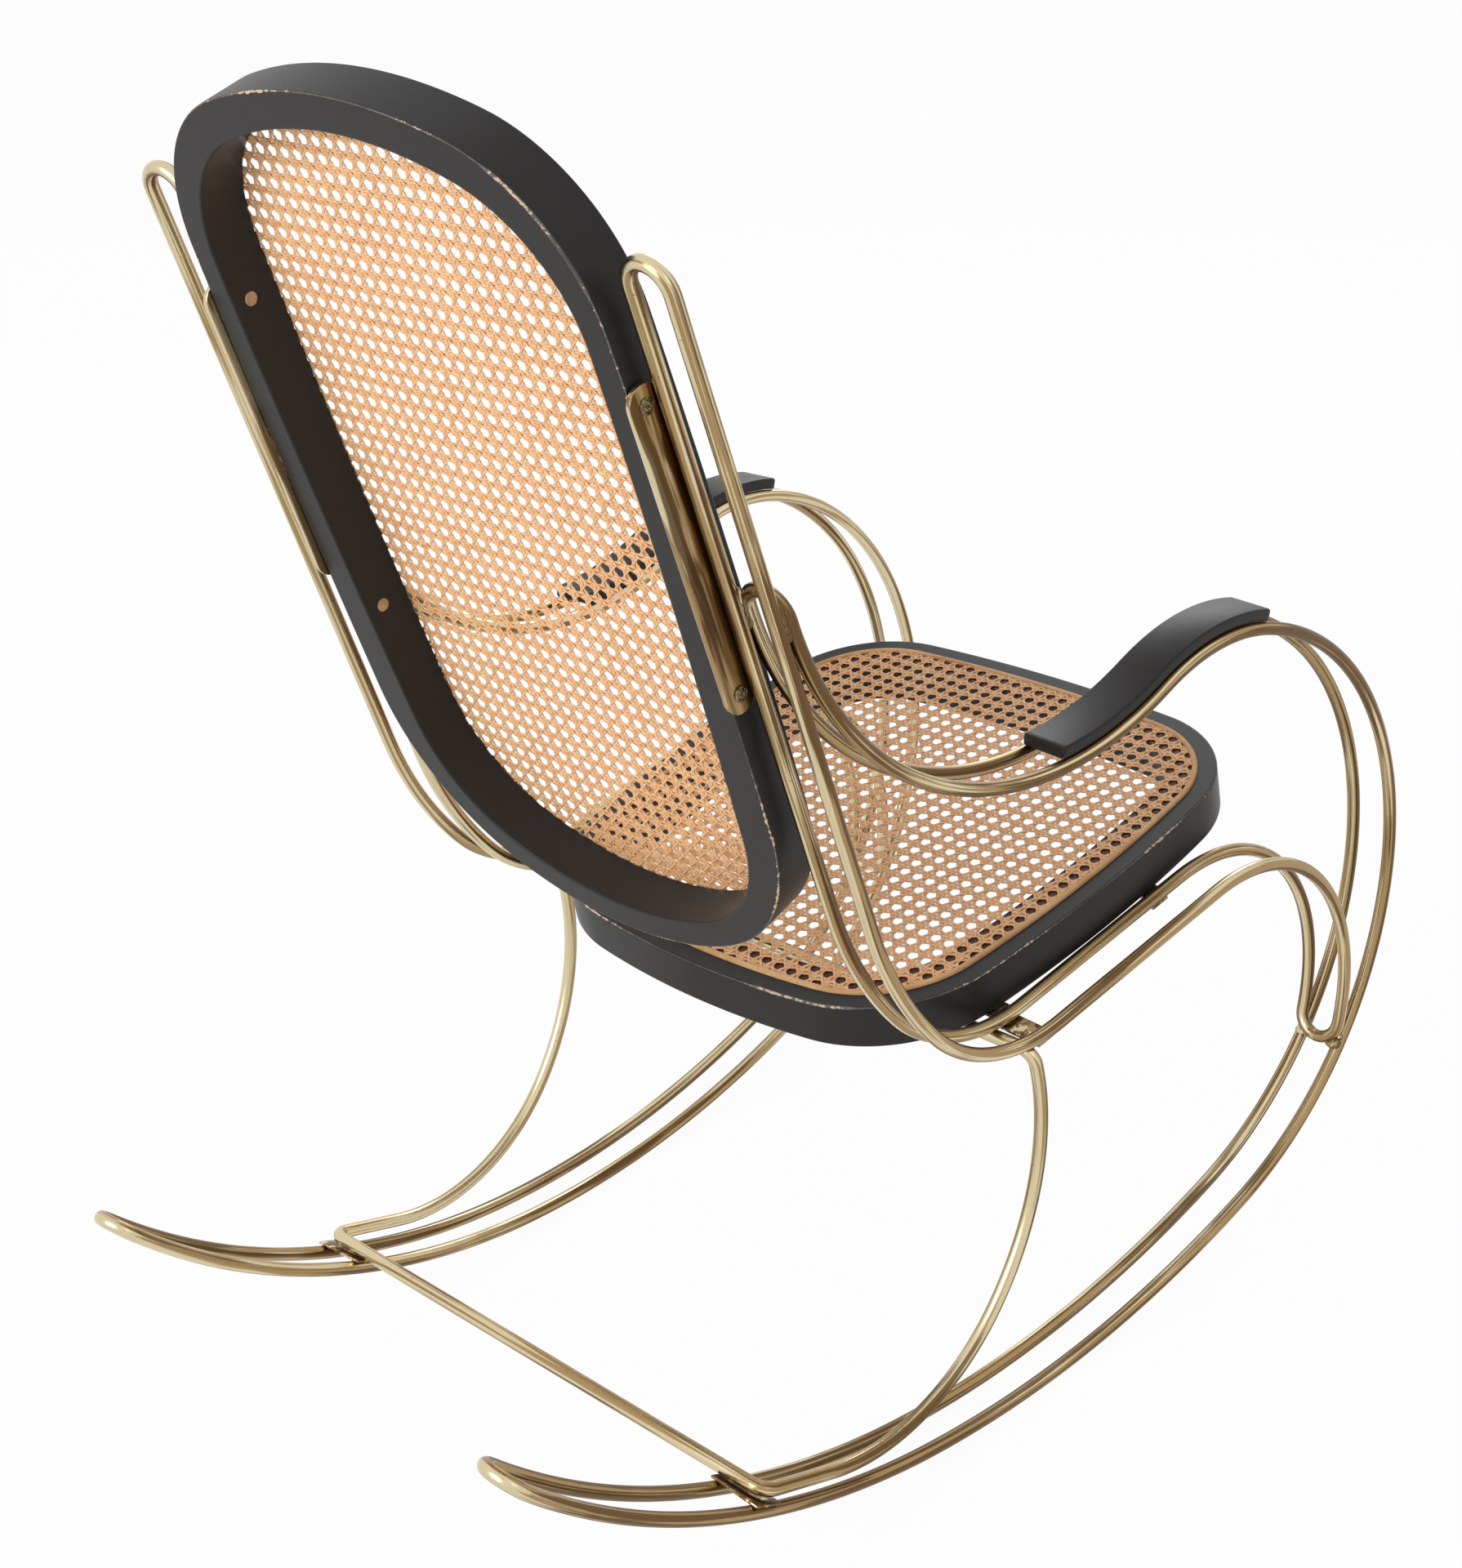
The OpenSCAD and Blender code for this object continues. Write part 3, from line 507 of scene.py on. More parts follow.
def ring_object(name, profile, place, count, knocked=(0, -1)):
    """Ring whose cross-section is a list of (outline, inset, depth, wear), closed on itself. The wear mark
    also sets the painted sheen line on the edges, and below zero the painted shade under the cane. Between
    the two knocked spots, counted round the outline, its edges are far more worn."""
    bm = bmesh.new()
    wear = bm.verts.layers.float.new("wear")
    spots = {o: trace(o, count) for o in {entry[0] for entry in profile}}
    loops = []
    for outline, inset, depth, worn_sheen_shade in profile:
        loop = []
        for k, s in enumerate(spots[outline]):
            v = bm.verts.new(place(*spot(s, inset), depth))
            v[wear] = worn_sheen_shade * (KNOCK_WEAR if knocked[0] <= k <= knocked[1] else 1.0)
            loop.append(v)
        loops.append(loop)
    skin(bm, loops, True)
    return from_bmesh(name, bm, 35)


def corner(outline, at, before, after, r, worn_sheen_shade):
    """Profile entries round one edge of a ring. The last number says how worn each is, and so how strong the
    painted sheen line is: most on the edge itself, fading over the 5 mm beside it."""
    fade = ((5.0, 0.0), (2.4, 0.45))
    marks = [(away, 0.0, share) for away, share in fade]
    for i in range(EDGE_STEPS + 1):
        a = math.pi / 2 * i / EDGE_STEPS
        marks.append((r * (1 - math.sin(a)), r * (1 - math.cos(a)), 0.78 + 0.22 * math.sin(2 * a)))
    marks += [(0.0, away, share) for away, share in reversed(fade)]
    return [
        (outline, at[0] + x * before[0] + y * after[0], at[1] + x * before[1] + y * after[1], share * worn_sheen_shade)
        for x, y, share in marks
    ]


# Node trees


def opaque(colour):
    """Colour with full cover, from hex text or from red, green and blue."""
    return (*(srgb(colour) if isinstance(colour, str) else colour[:3]), 1.0)


def feed(node, given):
    """Gives a node's inputs, in order or by key, a value, a colour, an output, or a node whose first live
    output is meant."""
    for key, value in given.items() if isinstance(given, dict) else enumerate(given):
        socket = node.inputs[key]
        if isinstance(value, bpy.types.Node):
            value = next(out for out in value.outputs if out.enabled)
        if isinstance(value, bpy.types.NodeSocket):
            node.id_data.links.new(value, socket)
        else:
            socket.default_value = opaque(value) if socket.type == "RGBA" else value


def add(tree, kind, given=(), **settings):
    """Adds a node with its settings and with what feeds its inputs."""
    node = tree.nodes.new(kind)
    for key, value in settings.items():
        setattr(node, key, value)
    feed(node, given)
    return node


def total(tree, start, *terms):
    """Start plus each value times its weight. A weight can be a number or another value."""
    for value, weight in terms:
        start = add(tree, "ShaderNodeMath", (value, weight, start), operation="MULTIPLY_ADD")
    return start


def reached(tree, low, high, start, *terms):
    """How far a total has come from low to high, 0 to 1."""
    return add(tree, "ShaderNodeMapRange", (total(tree, start, *terms), low, high))


def new_tree(name, *sockets):
    """Geometry tree with named inputs, the outputs that give them, and the tree's last node."""
    tree = bpy.data.node_groups.new(name, "GeometryNodeTree")
    tree.interface.new_socket("Geometry", in_out="INPUT", socket_type="NodeSocketGeometry")
    for label, kind, value in sockets:
        item = tree.interface.new_socket(label, in_out="INPUT", socket_type="NodeSocket" + kind)
        if value is not None:
            item.default_value = value
    tree.interface.new_socket("Geometry", in_out="OUTPUT", socket_type="NodeSocketGeometry")
    return tree, add(tree, "NodeGroupInput").outputs, add(tree, "NodeGroupOutput")


def finish_tree(tree, geometry, finish, result):
    """Realizes, smooths and paints what a tree has made."""
    real = add(tree, "GeometryNodeRealizeInstances", (geometry,))
    smooth = add(tree, "GeometryNodeSetShadeSmooth", (real,))
    paint = add(tree, "GeometryNodeSetMaterial", {"Geometry": smooth, "Material": finish})
    feed(result, (paint,))
    return tree


def rod_tree():
    """Sweeps a round rod along closed wires, and keeps where each point lies along and round it."""
    tree, given, result = new_tree(
        "Swept rod", ("Radius", "Float", 0.005), ("Sides", "Int", 20), ("Finish", "Material", None)
    )
    curve = add(tree, "GeometryNodeMeshToCurve", {"Mesh": given["Geometry"]})
    length = add(tree, "GeometryNodeSplineParameter").outputs["Length"]
    along = add(
        tree, "GeometryNodeStoreNamedAttribute", {"Geometry": curve, "Name": "rod_length", "Value": length},
        data_type="FLOAT", domain="POINT",
    )
    circle = add(
        tree, "GeometryNodeCurvePrimitiveCircle", {"Resolution": given["Sides"], "Radius": given["Radius"]}
    )
    where = add(tree, "GeometryNodeInputPosition")
    around = add(
        tree, "GeometryNodeStoreNamedAttribute", {"Geometry": circle, "Name": "rod_round", "Value": where},
        data_type="FLOAT_VECTOR", domain="POINT",
    )
    swept = add(tree, "GeometryNodeCurveToMesh", {"Curve": along, "Profile Curve": around})
    return finish_tree(tree, swept, given["Finish"], result)


def weave_tree():
    """Turns straight wires on a sheet into flat strands that pass over and under each other.

    A strand's height repeats with the weave spacing. The straight strands only dip where they cross,
    and the diagonal ones ride right over one set and right under the other.
    """
    tree, given, result = new_tree(
        "Cane strands",
        ("Spacing", "Float", 0.0127), ("Axis", "Vector", None), ("Width", "Float", 0.0024),
        ("Thickness", "Float", 0.0006), ("Diagonal", "Float", 0.0), ("Step", "Float", 0.0022),
        ("Seed", "Int", 1), ("Finish", "Material", None),
    )
    curve = add(tree, "GeometryNodeMeshToCurve", {"Mesh": given["Geometry"]})
    index = add(tree, "GeometryNodeInputIndex")
    tone = add(tree, "FunctionNodeRandomValue", {"ID": index, "Seed": given["Seed"]}, data_type="FLOAT")
    toned = add(
        tree, "GeometryNodeStoreNamedAttribute", {"Geometry": curve, "Name": "strand_tone", "Value": tone},
        data_type="FLOAT", domain="CURVE",
    )
    points = add(tree, "GeometryNodeResampleCurve", {"Curve": toned, "Length": given["Step"]}, mode="LENGTH")
    where = add(tree, "GeometryNodeInputPosition")
    level = add(tree, "ShaderNodeVectorMath", (where, given["Axis"]), operation="DOT_PRODUCT")
    turns = add(tree, "ShaderNodeMath", (level, given["Spacing"]), operation="DIVIDE")
    angle = total(tree, 0.0, (turns, 2 * math.pi))
    sine = add(tree, "ShaderNodeMath", (angle,), operation="SINE")
    cosine = add(tree, "ShaderNodeMath", (angle,), operation="COSINE")
    # A straight strand dips by 0.78 of its thickness, and only near a crossing
    near_crossing = total(tree, 0.5, (cosine, 0.5))
    dip = total(tree, 0.0, (total(tree, 0.0, (sine, near_crossing)), 0.78))
    # A diagonal one follows a wave that is 1.6 times as steep, with its crests cut flat
    over = add(tree, "ShaderNodeClamp", (total(tree, 0.0, (cosine, 1.6)), -1.0, 1.0))
    wave = add(tree, "ShaderNodeMix", {0: given["Diagonal"], 2: dip, 3: over}, data_type="FLOAT")
    which = add(tree, "GeometryNodeInputNamedAttribute", {"Name": "which"}, data_type="FLOAT")
    height = total(tree, 0.0, (total(tree, 0.0, (wave, which)), given["Thickness"]))
    offset = add(tree, "ShaderNodeCombineXYZ", {"Z": height})
    lifted = add(tree, "GeometryNodeSetPosition", {"Geometry": points, "Offset": offset})
    upright = add(tree, "GeometryNodeSetCurveNormal", {"Curve": lifted}, mode="Z_UP")
    length = add(tree, "GeometryNodeSplineParameter").outputs["Length"]
    measured = add(
        tree, "GeometryNodeStoreNamedAttribute",
        {"Geometry": upright, "Name": "strand_length", "Value": length}, data_type="FLOAT", domain="POINT",
    )
    section = add(tree, "GeometryNodeCurvePrimitiveCircle", {"Resolution": 6, "Radius": 0.5})
    size = add(tree, "ShaderNodeCombineXYZ", (given["Width"], given["Thickness"], 1.0))
    flat = add(tree, "GeometryNodeTransform", {"Geometry": section, "Scale": size})
    across = add(tree, "ShaderNodeSeparateXYZ", (where,))
    marked = add(
        tree, "GeometryNodeStoreNamedAttribute", {"Geometry": flat, "Name": "strand_across", "Value": across},
        data_type="FLOAT", domain="POINT",
    )
    shape = {"Curve": measured, "Profile Curve": marked, "Fill Caps": True}
    swept = add(tree, "GeometryNodeCurveToMesh", shape)
    return finish_tree(tree, swept, given["Finish"], result)


def scatter_tree():
    """Puts a copy of one small part on every point, turned to the point's own axis and spin."""
    tree, given, result = new_tree(
        "Set fasteners",
        ("Part", "Object", None), ("Size", "Float", 1.0), ("Spread", "Float", 0.0), ("Seed", "Int", 1),
        ("Finish", "Material", None),
    )
    part = add(tree, "GeometryNodeObjectInfo", {"Object": given["Part"]}).outputs["Geometry"]
    axis = add(tree, "GeometryNodeInputNamedAttribute", {"Name": "axis"}, data_type="FLOAT_VECTOR")
    spin = add(tree, "GeometryNodeInputNamedAttribute", {"Name": "spin"}, data_type="FLOAT_VECTOR")
    turn = add(tree, "FunctionNodeAxesToRotation", (axis, spin))
    least, most = (total(tree, 1.0, (given["Spread"], sign)) for sign in (-1.0, 1.0))
    spread = add(
        tree, "FunctionNodeRandomValue", {"Seed": given["Seed"], 2: least, 3: most}, data_type="FLOAT"
    )
    scale = total(tree, 0.0, (spread, given["Size"]))
    placed = add(
        tree, "GeometryNodeInstanceOnPoints",
        {"Points": given["Geometry"], "Instance": part, "Rotation": turn, "Scale": scale},
    )
    return finish_tree(tree, placed, given["Finish"], result)


# Materials

# How far a noise breaks up into smaller spots
EVEN = {"Detail": 2.0, "Roughness": 0.5}
COARSE = {"Detail": 2.0, "Roughness": 0.55}
FINE = {"Detail": 3.0, "Roughness": 0.55}


def material(name):
    """Empty material with its tree, its surface shader and a point in object space."""
    mat = bpy.data.materials.new(name)
    mat.use_nodes = True
    tree = mat.node_tree
    tree.nodes.clear()
    shader = add(tree, "ShaderNodeBsdfPrincipled")
    add(tree, "ShaderNodeOutputMaterial", {"Surface": shader})
    return mat, tree, shader, add(tree, "ShaderNodeTexCoord").outputs["Object"]


def coat(tree, under, colour, amount, share=1.0):
    """Colour laid over another where an amount says, at most by the given share."""
    cover = total(tree, 0.0, (amount, share))
    return add(tree, "ShaderNodeMix", {0: cover, 6: under, 7: colour}, data_type="RGBA")


def surface(tree, shader, given, height, strength, depth):
    """Feeds a surface shader, and gives it relief from a height, its depth in millimetres."""
    bump = add(tree, "ShaderNodeBump", {"Strength": strength, "Distance": depth * MM, "Height": height})
    feed(shader, {**given, "Normal": bump})


def brass_surface(tree, shader, space, streak, age_and_shade, cfg):
    """Colour, roughness and relief of old lacquered brass. Bands run along the metal: bright ones, part clean
    brass and part painted highlight, mostly on faces turned up and rearwards towards the lamps, further up
    and on the sitter's left, and brown ones, part lost lacquer and part painted shade and dark reflection,
    mostly on the opposite sides. The older and more shaded the piece, the more is brown."""
    normal = add(tree, "ShaderNodeSeparateXYZ", (add(tree, "ShaderNodeTexCoord").outputs["Normal"],)).outputs
    place = add(tree, "ShaderNodeSeparateXYZ", (space,)).outputs
    # Patches are about 140 mm long
    patches = add(tree, "ShaderNodeTexNoise", {"Vector": space, "Scale": 7.0, **FINE})
    brown = add(tree, "ShaderNodeTexNoise", {"Vector": streak, "Scale": 1.0, **EVEN})
    elsewhere = add(tree, "ShaderNodeVectorMath", (streak, (7.3, 3.1, 5.7)), operation="ADD")
    pale = add(tree, "ShaderNodeTexNoise", {"Vector": elsewhere, "Scale": 1.0, **EVEN})
    finer = add(tree, "ShaderNodeVectorMath", (streak, (3.0, 2.5, 2.5)), operation="MULTIPLY")
    fine = add(tree, "ShaderNodeTexNoise", {"Vector": finer, "Scale": 1.0, **COARSE})
    # Painted highlight: faces turned up and rearwards, towards the lamps, are made lighter, and so are spots
    # further up and on the sitter's left
    handled_and_lit = total(
        tree, 0.0, (normal["Z"], 0.1), (normal["Y"], 0.13), (place["Z"], 0.12 * age_and_shade), (place["X"], 0.18)
    )
    # Bands have soft edges, and age and painted shade move the levels at which they begin
    soft, brown_from, bright_from = 0.05, 0.75 - 0.16 * age_and_shade, 0.37 + 0.1 * age_and_shade
    # Brown bands are part lost lacquer and part painted shade and dark reflection. Bright bands are part
    # clean brass and part painted highlight
    old = reached(tree, brown_from, brown_from + soft, brown, (patches, 0.4), (handled_and_lit, -1.0))
    clean_and_highlight = reached(tree, bright_from, bright_from + soft, pale, (handled_and_lit, 1.0), (patches, -0.3))
    # Pits are about 1 mm wide
    pitted = add(tree, "ShaderNodeTexNoise", {"Vector": space, "Scale": 300.0, **COARSE})
    tone = coat(tree, cfg.brass, "#8F754B", fine, 0.6)
    tone = coat(tree, tone, cfg.bright, clean_and_highlight, 0.85)
    tone = coat(tree, tone, cfg.tarnish, old, 0.8)
    tone = coat(tree, tone, "#4B3620", reached(tree, 0.7, 0.76, pitted), 0.5)
    rough = total(tree, cfg.polish, (old, 0.14), (fine, 0.08))
    surface(tree, shader, {"Base Color": tone, "Roughness": rough, "Metallic": 1.0}, fine, 0.03, 0.3)


def rod_brass(age_and_shade, cfg):
    """Lacquered brass rod, drawn and bent: long bright and brown streaks, part clean brass and lost lacquer,
    part painted highlight and dark reflection.
    """
    mat, tree, shader, space = material("lacquered brass rod")
    length = add(tree, "ShaderNodeAttribute", attribute_name="rod_length").outputs["Fac"]
    around = add(tree, "ShaderNodeAttribute", attribute_name="rod_round").outputs["Vector"]
    around = add(tree, "ShaderNodeSeparateXYZ", (around,)).outputs
    place = add(tree, "ShaderNodeCombineXYZ", (length, around["X"], around["Y"]))
    # Streaks are about 300 mm long and 3 mm wide
    streak = add(tree, "ShaderNodeVectorMath", (place, (3.5, 320.0, 320.0)), operation="MULTIPLY")
    brass_surface(tree, shader, space, streak, age_and_shade, cfg)
    return mat


def plate_brass(cfg):
    """Rolled brass plate with the same lacquer, browner than the rods: part tarnish, part painted shade where
    the plates lie under the seat and turn from the lamps.
    """
    mat, tree, shader, space = material("lacquered brass plate")
    # The rolling runs up the leaning back, in streaks about 110 mm long and 8 mm wide
    rolled = add(tree, "ShaderNodeVectorRotate", {"Vector": space, "Angle": RECLINE}, rotation_type="X_AXIS")
    streak = add(tree, "ShaderNodeVectorMath", (rolled, (140.0, 120.0, 9.0)), operation="MULTIPLY")
    brass_surface(tree, shader, space, streak, AGE_AND_SHADE["plate"], cfg)
    return mat


def black_wood(cfg):
    """Hardwood under sprayed satin black paint: a faint grain, a thin pale grey line along the outer edges,
    part paint rubbed through and part painted sheen, and chips of bare wood along that line."""
    mat, tree, shader, space = material("black painted hardwood")
    worn_sheen_shade = add(tree, "ShaderNodeAttribute", attribute_name="wear").outputs["Fac"]
    # Worn stretches are about 80 mm long, and their chips 2 to 6 mm
    stretch = add(tree, "ShaderNodeTexNoise", {"Vector": space, "Scale": 9.0, **COARSE})
    stretch = reached(tree, 0.42, 0.72, stretch)
    small = add(tree, "ShaderNodeTexNoise", {"Vector": space, "Scale": 260.0, **FINE, "Roughness": 0.6})
    chips = reached(tree, 0.745, 0.765, 0.0, (small, 0.7), (worn_sheen_shade, total(tree, 0.2, (stretch, 0.31))))
    # Painted sheen: the pale grey line along the rounded outer edges stands in part for the light they catch,
    # in part for paint rubbed through
    rubbed_and_sheen = add(tree, "ShaderNodeMath", (worn_sheen_shade, 1.0), operation="MINIMUM")
    rubbed_sheen_line = reached(tree, 0.5, 0.56, 0.0, (rubbed_and_sheen, 0.5), (small, 0.12))
    # The grain is about 2 mm wide and 17 mm long
    fibre = add(tree, "ShaderNodeVectorMath", (space, (420.0, 420.0, 60.0)), operation="MULTIPLY")
    grain = add(tree, "ShaderNodeTexNoise", {"Vector": fibre, "Scale": 1.0, **FINE})
    tone = coat(tree, cfg.paint, "#2A2827", grain, 0.4)
    tone = coat(tree, tone, "#A9A49C", rubbed_sheen_line, total(tree, 0.15, (stretch, 0.45)))
    tone = coat(tree, tone, cfg.bare, chips)
    # Wear below zero marks the wood that the cane covers, painted dark brown: part stained wood, part painted
    # shade and warm reflection of the cane in that recess
    tone = coat(tree, tone, "#45220F", worn_sheen_shade, -1.0)
    rough = total(tree, 0.34, (grain, 0.1), (chips, 0.3))
    given = {"Base Color": tone, "Roughness": rough, "Specular IOR Level": 0.19}
    surface(tree, shader, given, grain, 0.12, 0.4)
    return mat


def cane_skin(cfg):
    """Split rattan skin: a glossy tan ribbon with fine fibres along it and browner stretches."""
    mat, tree, shader, space = material("woven cane")
    tone, length, across = (
        add(tree, "ShaderNodeAttribute", attribute_name="strand_" + mark).outputs["Fac"]
        for mark in ("tone", "length", "across")
    )
    # Fibres are 0.3 mm wide and run the length of the strand
    place = add(tree, "ShaderNodeCombineXYZ", (length, across, tone))
    place = add(tree, "ShaderNodeVectorMath", (place, (30.0, 3200.0, 50.0)), operation="MULTIPLY")
    fibre = add(tree, "ShaderNodeTexNoise", {"Vector": place, "Scale": 1.0, **FINE})
    # Browner stretches are about 40 mm long, and differ from strand to strand
    place = add(tree, "ShaderNodeCombineXYZ", (length, tone))
    place = add(tree, "ShaderNodeVectorMath", (place, (26.0, 90.0, 0.0)), operation="MULTIPLY")
    stretch = add(tree, "ShaderNodeTexNoise", {"Vector": place, "Scale": 1.0, **COARSE})
    stretch = reached(tree, 0.35, 0.7, stretch)
    spots = add(tree, "ShaderNodeTexNoise", {"Vector": space, "Scale": 230.0, **COARSE})
    colour = coat(tree, cfg.light, cfg.deep, total(tree, 0.0, (tone, 0.45), (stretch, 0.45)))
    colour = coat(tree, colour, "#A3683A", reached(tree, 0.5, 0.75, fibre), 0.3)
    colour = coat(tree, colour, "#8A5630", reached(tree, 0.66, 0.72, spots), 0.45)
    given = {"Base Color": colour, "Roughness": 0.45, "Specular IOR Level": 0.4}
    surface(tree, shader, given, fibre, 0.3, 0.2)
    return mat


def reed_skin():
    """Reed core pressed into the groove: pale tan, matt, with short fibres."""
    mat, tree, shader, space = material("reed spline")
    fibre = add(tree, "ShaderNodeTexNoise", {"Vector": space, "Scale": 700.0, **FINE})
    patches = add(tree, "ShaderNodeTexNoise", {"Vector": space, "Scale": 22.0, **FINE})
    colour = coat(tree, "#DDB17C", "#C08A58", reached(tree, 0.35, 0.7, patches))
    colour = coat(tree, colour, "#9A6A40", reached(tree, 0.5, 0.7, fibre), 0.4)
    surface(tree, shader, {"Base Color": colour, "Roughness": 0.6}, fibre, 0.25, 0.3)
    return mat


def plug_wood():
    """Cut hardwood dowel: end grain as fine pores and faint rings."""
    mat, tree, shader, space = material("end grain plug")
    pores = add(tree, "ShaderNodeTexNoise", {"Vector": space, "Scale": 900.0, **COARSE})
    pores = reached(tree, 0.55, 0.7, pores)
    rings = add(tree, "ShaderNodeTexNoise", {"Vector": space, "Scale": 160.0, **COARSE})
    colour = coat(tree, "#C2A27C", "#A3825E", reached(tree, 0.35, 0.7, rings))
    colour = coat(tree, colour, "#6E5238", pores, 0.4)
    surface(tree, shader, {"Base Color": colour, "Roughness": 0.7}, pores, 0.3, 0.2)
    return mat


def screw_metal(name, tone, dirt):
    """Turned steel with a worn plating, dirty in patches about 2 mm wide."""
    mat, tree, shader, space = material(name)
    dirty = add(tree, "ShaderNodeTexNoise", {"Vector": space, "Scale": 500.0, **FINE, "Detail": 4.0})
    dirty = reached(tree, 0.4, 0.7, dirty)
    colour = coat(tree, tone, dirt, dirty)
    rough = total(tree, 0.25, (dirty, 0.3))
    surface(tree, shader, {"Base Color": colour, "Roughness": rough, "Metallic": 1.0}, dirty, 0.3, 0.2)
    return mat


MADE = {}


def shared(name, make, *args):
    """A material or node tree made once and used again by its key."""
    if name not in MADE:
        MADE[name] = make(*args)
    return MADE[name]


# Operators


class ROCKER_OT_rods(bpy.types.Operator):
    """Sweep the five brass loops along their closed centre lines"""

    bl_idname = "rocker.rods"
    bl_label = "Bend the rods"

    def execute(self, context):
        cfg = context.scene.rocker_rods
        tree = rod_tree()
        loops = {"leg_loop": leg_path()}
        for left, word in SIDES:
            loops["runner_loop_" + word] = hairpin(RUNNER_START, RUNNER_RUN, left, False)
            loops["upright_loop_" + word] = hairpin(UPRIGHT_START, UPRIGHT_RUN, left, True)
        for node, path in loops.items():
            kind = node.split("_")[0]
            finish = shared("rod_" + kind, rod_brass, AGE_AND_SHADE[kind], cfg)
            obj = wire("brass_" + node, [path], True)
            grown(obj, tree, Radius=cfg.diameter / 2, Sides=cfg.sides, Finish=finish)
            finish_piece(obj, None, "aged_brass", node)
        return {"FINISHED"}


class ROCKER_OT_frames(bpy.types.Operator):
    """Build the two black wooden rings, with rounded edges and the groove for the cane"""

    bl_idname = "rocker.frames"
    bl_label = "Shape the wooden rings"

    def execute(self, context):
        cfg = context.scene.rocker_wood
        finish = shared("wood", black_wood, cfg)
        edge = cfg.edge / MM
        # The outer edges that hands and walls touch are worn and carry the painted sheen line: the back's
        # rear one and the seat's top one
        for word, hole, inset, near_wear_sheen, far_wear_sheen, knocked in (
            ("back", BACK_HOLE, 0.0, 0.6, 1.0, BACK_KNOCK),
            ("seat", SEAT_OUTLINE, SEAT_RING_W, 1.0, 0.5, SEAT_KNOCK),
        ):
            outline, depth, band, place = RINGS[word]
            groove = band + GROOVE_W
            profile = corner(outline, (0.0, depth), (0, -1), (1, 0), edge, far_wear_sheen)
            profile += corner(hole, (inset, depth), (-1, 0), (0, -1), edge, 0.5)
            # Entries of -1 mark the wood under the cane, which the material paints dark brown: part stain,
            # part painted shade
            profile += [(hole, inset, 1.0, 0.0), (hole, inset - 1.0, 0.0, -1.0)]
            profile += [(outline, groove, 0.0, -1.0), (outline, groove, GROOVE_DEPTH, -1.0)]
            profile += [(outline, band, GROOVE_DEPTH, -1.0), (outline, band, 0.0, 0.0)]
            profile += corner(outline, (0.0, 0.0), (1, 0), (0, 1), edge, near_wear_sheen)
            obj = ring_object("wood_%s_ring" % word, profile, place, RING_STEPS, knocked)
            finish_piece(obj, finish, "black_wood", word + "_frame")
        return {"FINISHED"}


class ROCKER_OT_armrests(bpy.types.Operator):
    """Bend the two flat armrest boards over the arms"""

    bl_idname = "rocker.armrests"
    bl_label = "Bend the armrests"

    width: FloatProperty(name="Width", description="Width of an armrest", default=37 * MM, unit="LENGTH")
    thick: FloatProperty(
        name="Thickness", description="Thickness of an armrest", default=9.5 * MM, unit="LENGTH"
    )

    def execute(self, context):
        finish = shared("wood", black_wood, context.scene.rocker_wood)
        half, thick, r = self.width / MM / 2, self.thick / MM, ARMREST_EDGE_R
        poses = walk(step(RUNNER_START, ARMREST_SKIP), ARMREST_RUN, ARMREST_STEP)
        section = []
        for quarter, (sign, h) in enumerate(((1, thick - r), (-1, thick - r), (-1, r), (1, r))):
            for a in (math.radians(90 * quarter + 30 * i) for i in range(4)):
                section.append((sign * (half - r) + r * math.cos(a), h + r * math.sin(a)))
        stations = [(0, away, shrink) for away, shrink in ARMREST_ENDS]
        stations += [(k, 0, 0) for k in range(1, len(poses) - 1)]
        stations += [(len(poses) - 1, -away, shrink) for away, shrink in reversed(ARMREST_ENDS)]
        for left, word in SIDES:
            bm = bmesh.new()
            wear = bm.verts.layers.float.new("wear")
            loops = []
            for k, shift, shrink in stations:
                loop = []
                for w, h in section:
                    up = CLEAR + thick / 2 + (h - thick / 2) * (1 - 2 * shrink / thick)
                    v = bm.verts.new(from_pose(poses[k], shift, -up, w * (1 - shrink / half), left))
                    # The ends are worn and carry the painted sheen line, most on the corners of their sides
                    v[wear] = 0.92 if shrink == 0.5 and abs(w) > half - r else 0.3 * (shrink > 0)
                    loop.append(v)
                loops.append(loop)
            skin(bm, loops, False)
            bm.faces.new(loops[0])
            bm.faces.new(list(reversed(loops[-1])))
            finish_piece(from_bmesh("wood_armrest_" + word, bm, 50), finish, "black_wood", "armrest_" + word)
        return {"FINISHED"}


def sheet_matrix(place, origin, turn):
    """Matrix from a weave's own axes, in metres, to the frame. Its height points to the sitter."""
    height = -CANE_T / 2
    base = place(origin[0], origin[1], height)
    ux, uy = turned((1.0, 0.0), turn)
    vx, vy = turned((0.0, 1.0), turn)
    u = (place(origin[0] + ux, origin[1] + uy, height) - base).normalized()
    v = (place(origin[0] + vx, origin[1] + vy, height) - base).normalized()
    n = (place(origin[0], origin[1], height - 1.0) - base).normalized()
    return Matrix.Translation(base) @ Matrix((u, v, n)).transposed().to_4x4()


def cut(edge, along, across, level):
    """Ends of the line where across is level, inside a convex edge, in the direction of along."""
    hits = []
    for a, b in zip(edge, edge[1:] + edge[:1]):
        fa = a[0] * across[0] + a[1] * across[1] - level
        fb = b[0] * across[0] + b[1] * across[1] - level
        if (fa < 0) != (fb < 0):
            t = fa / (fa - fb)
            hits.append((a[0] + t * (b[0] - a[0]), a[1] + t * (b[1] - a[1])))
    if len(hits) != 2:
        return None
    return sorted(hits, key=lambda q: q[0] * along[0] + q[1] * along[1])


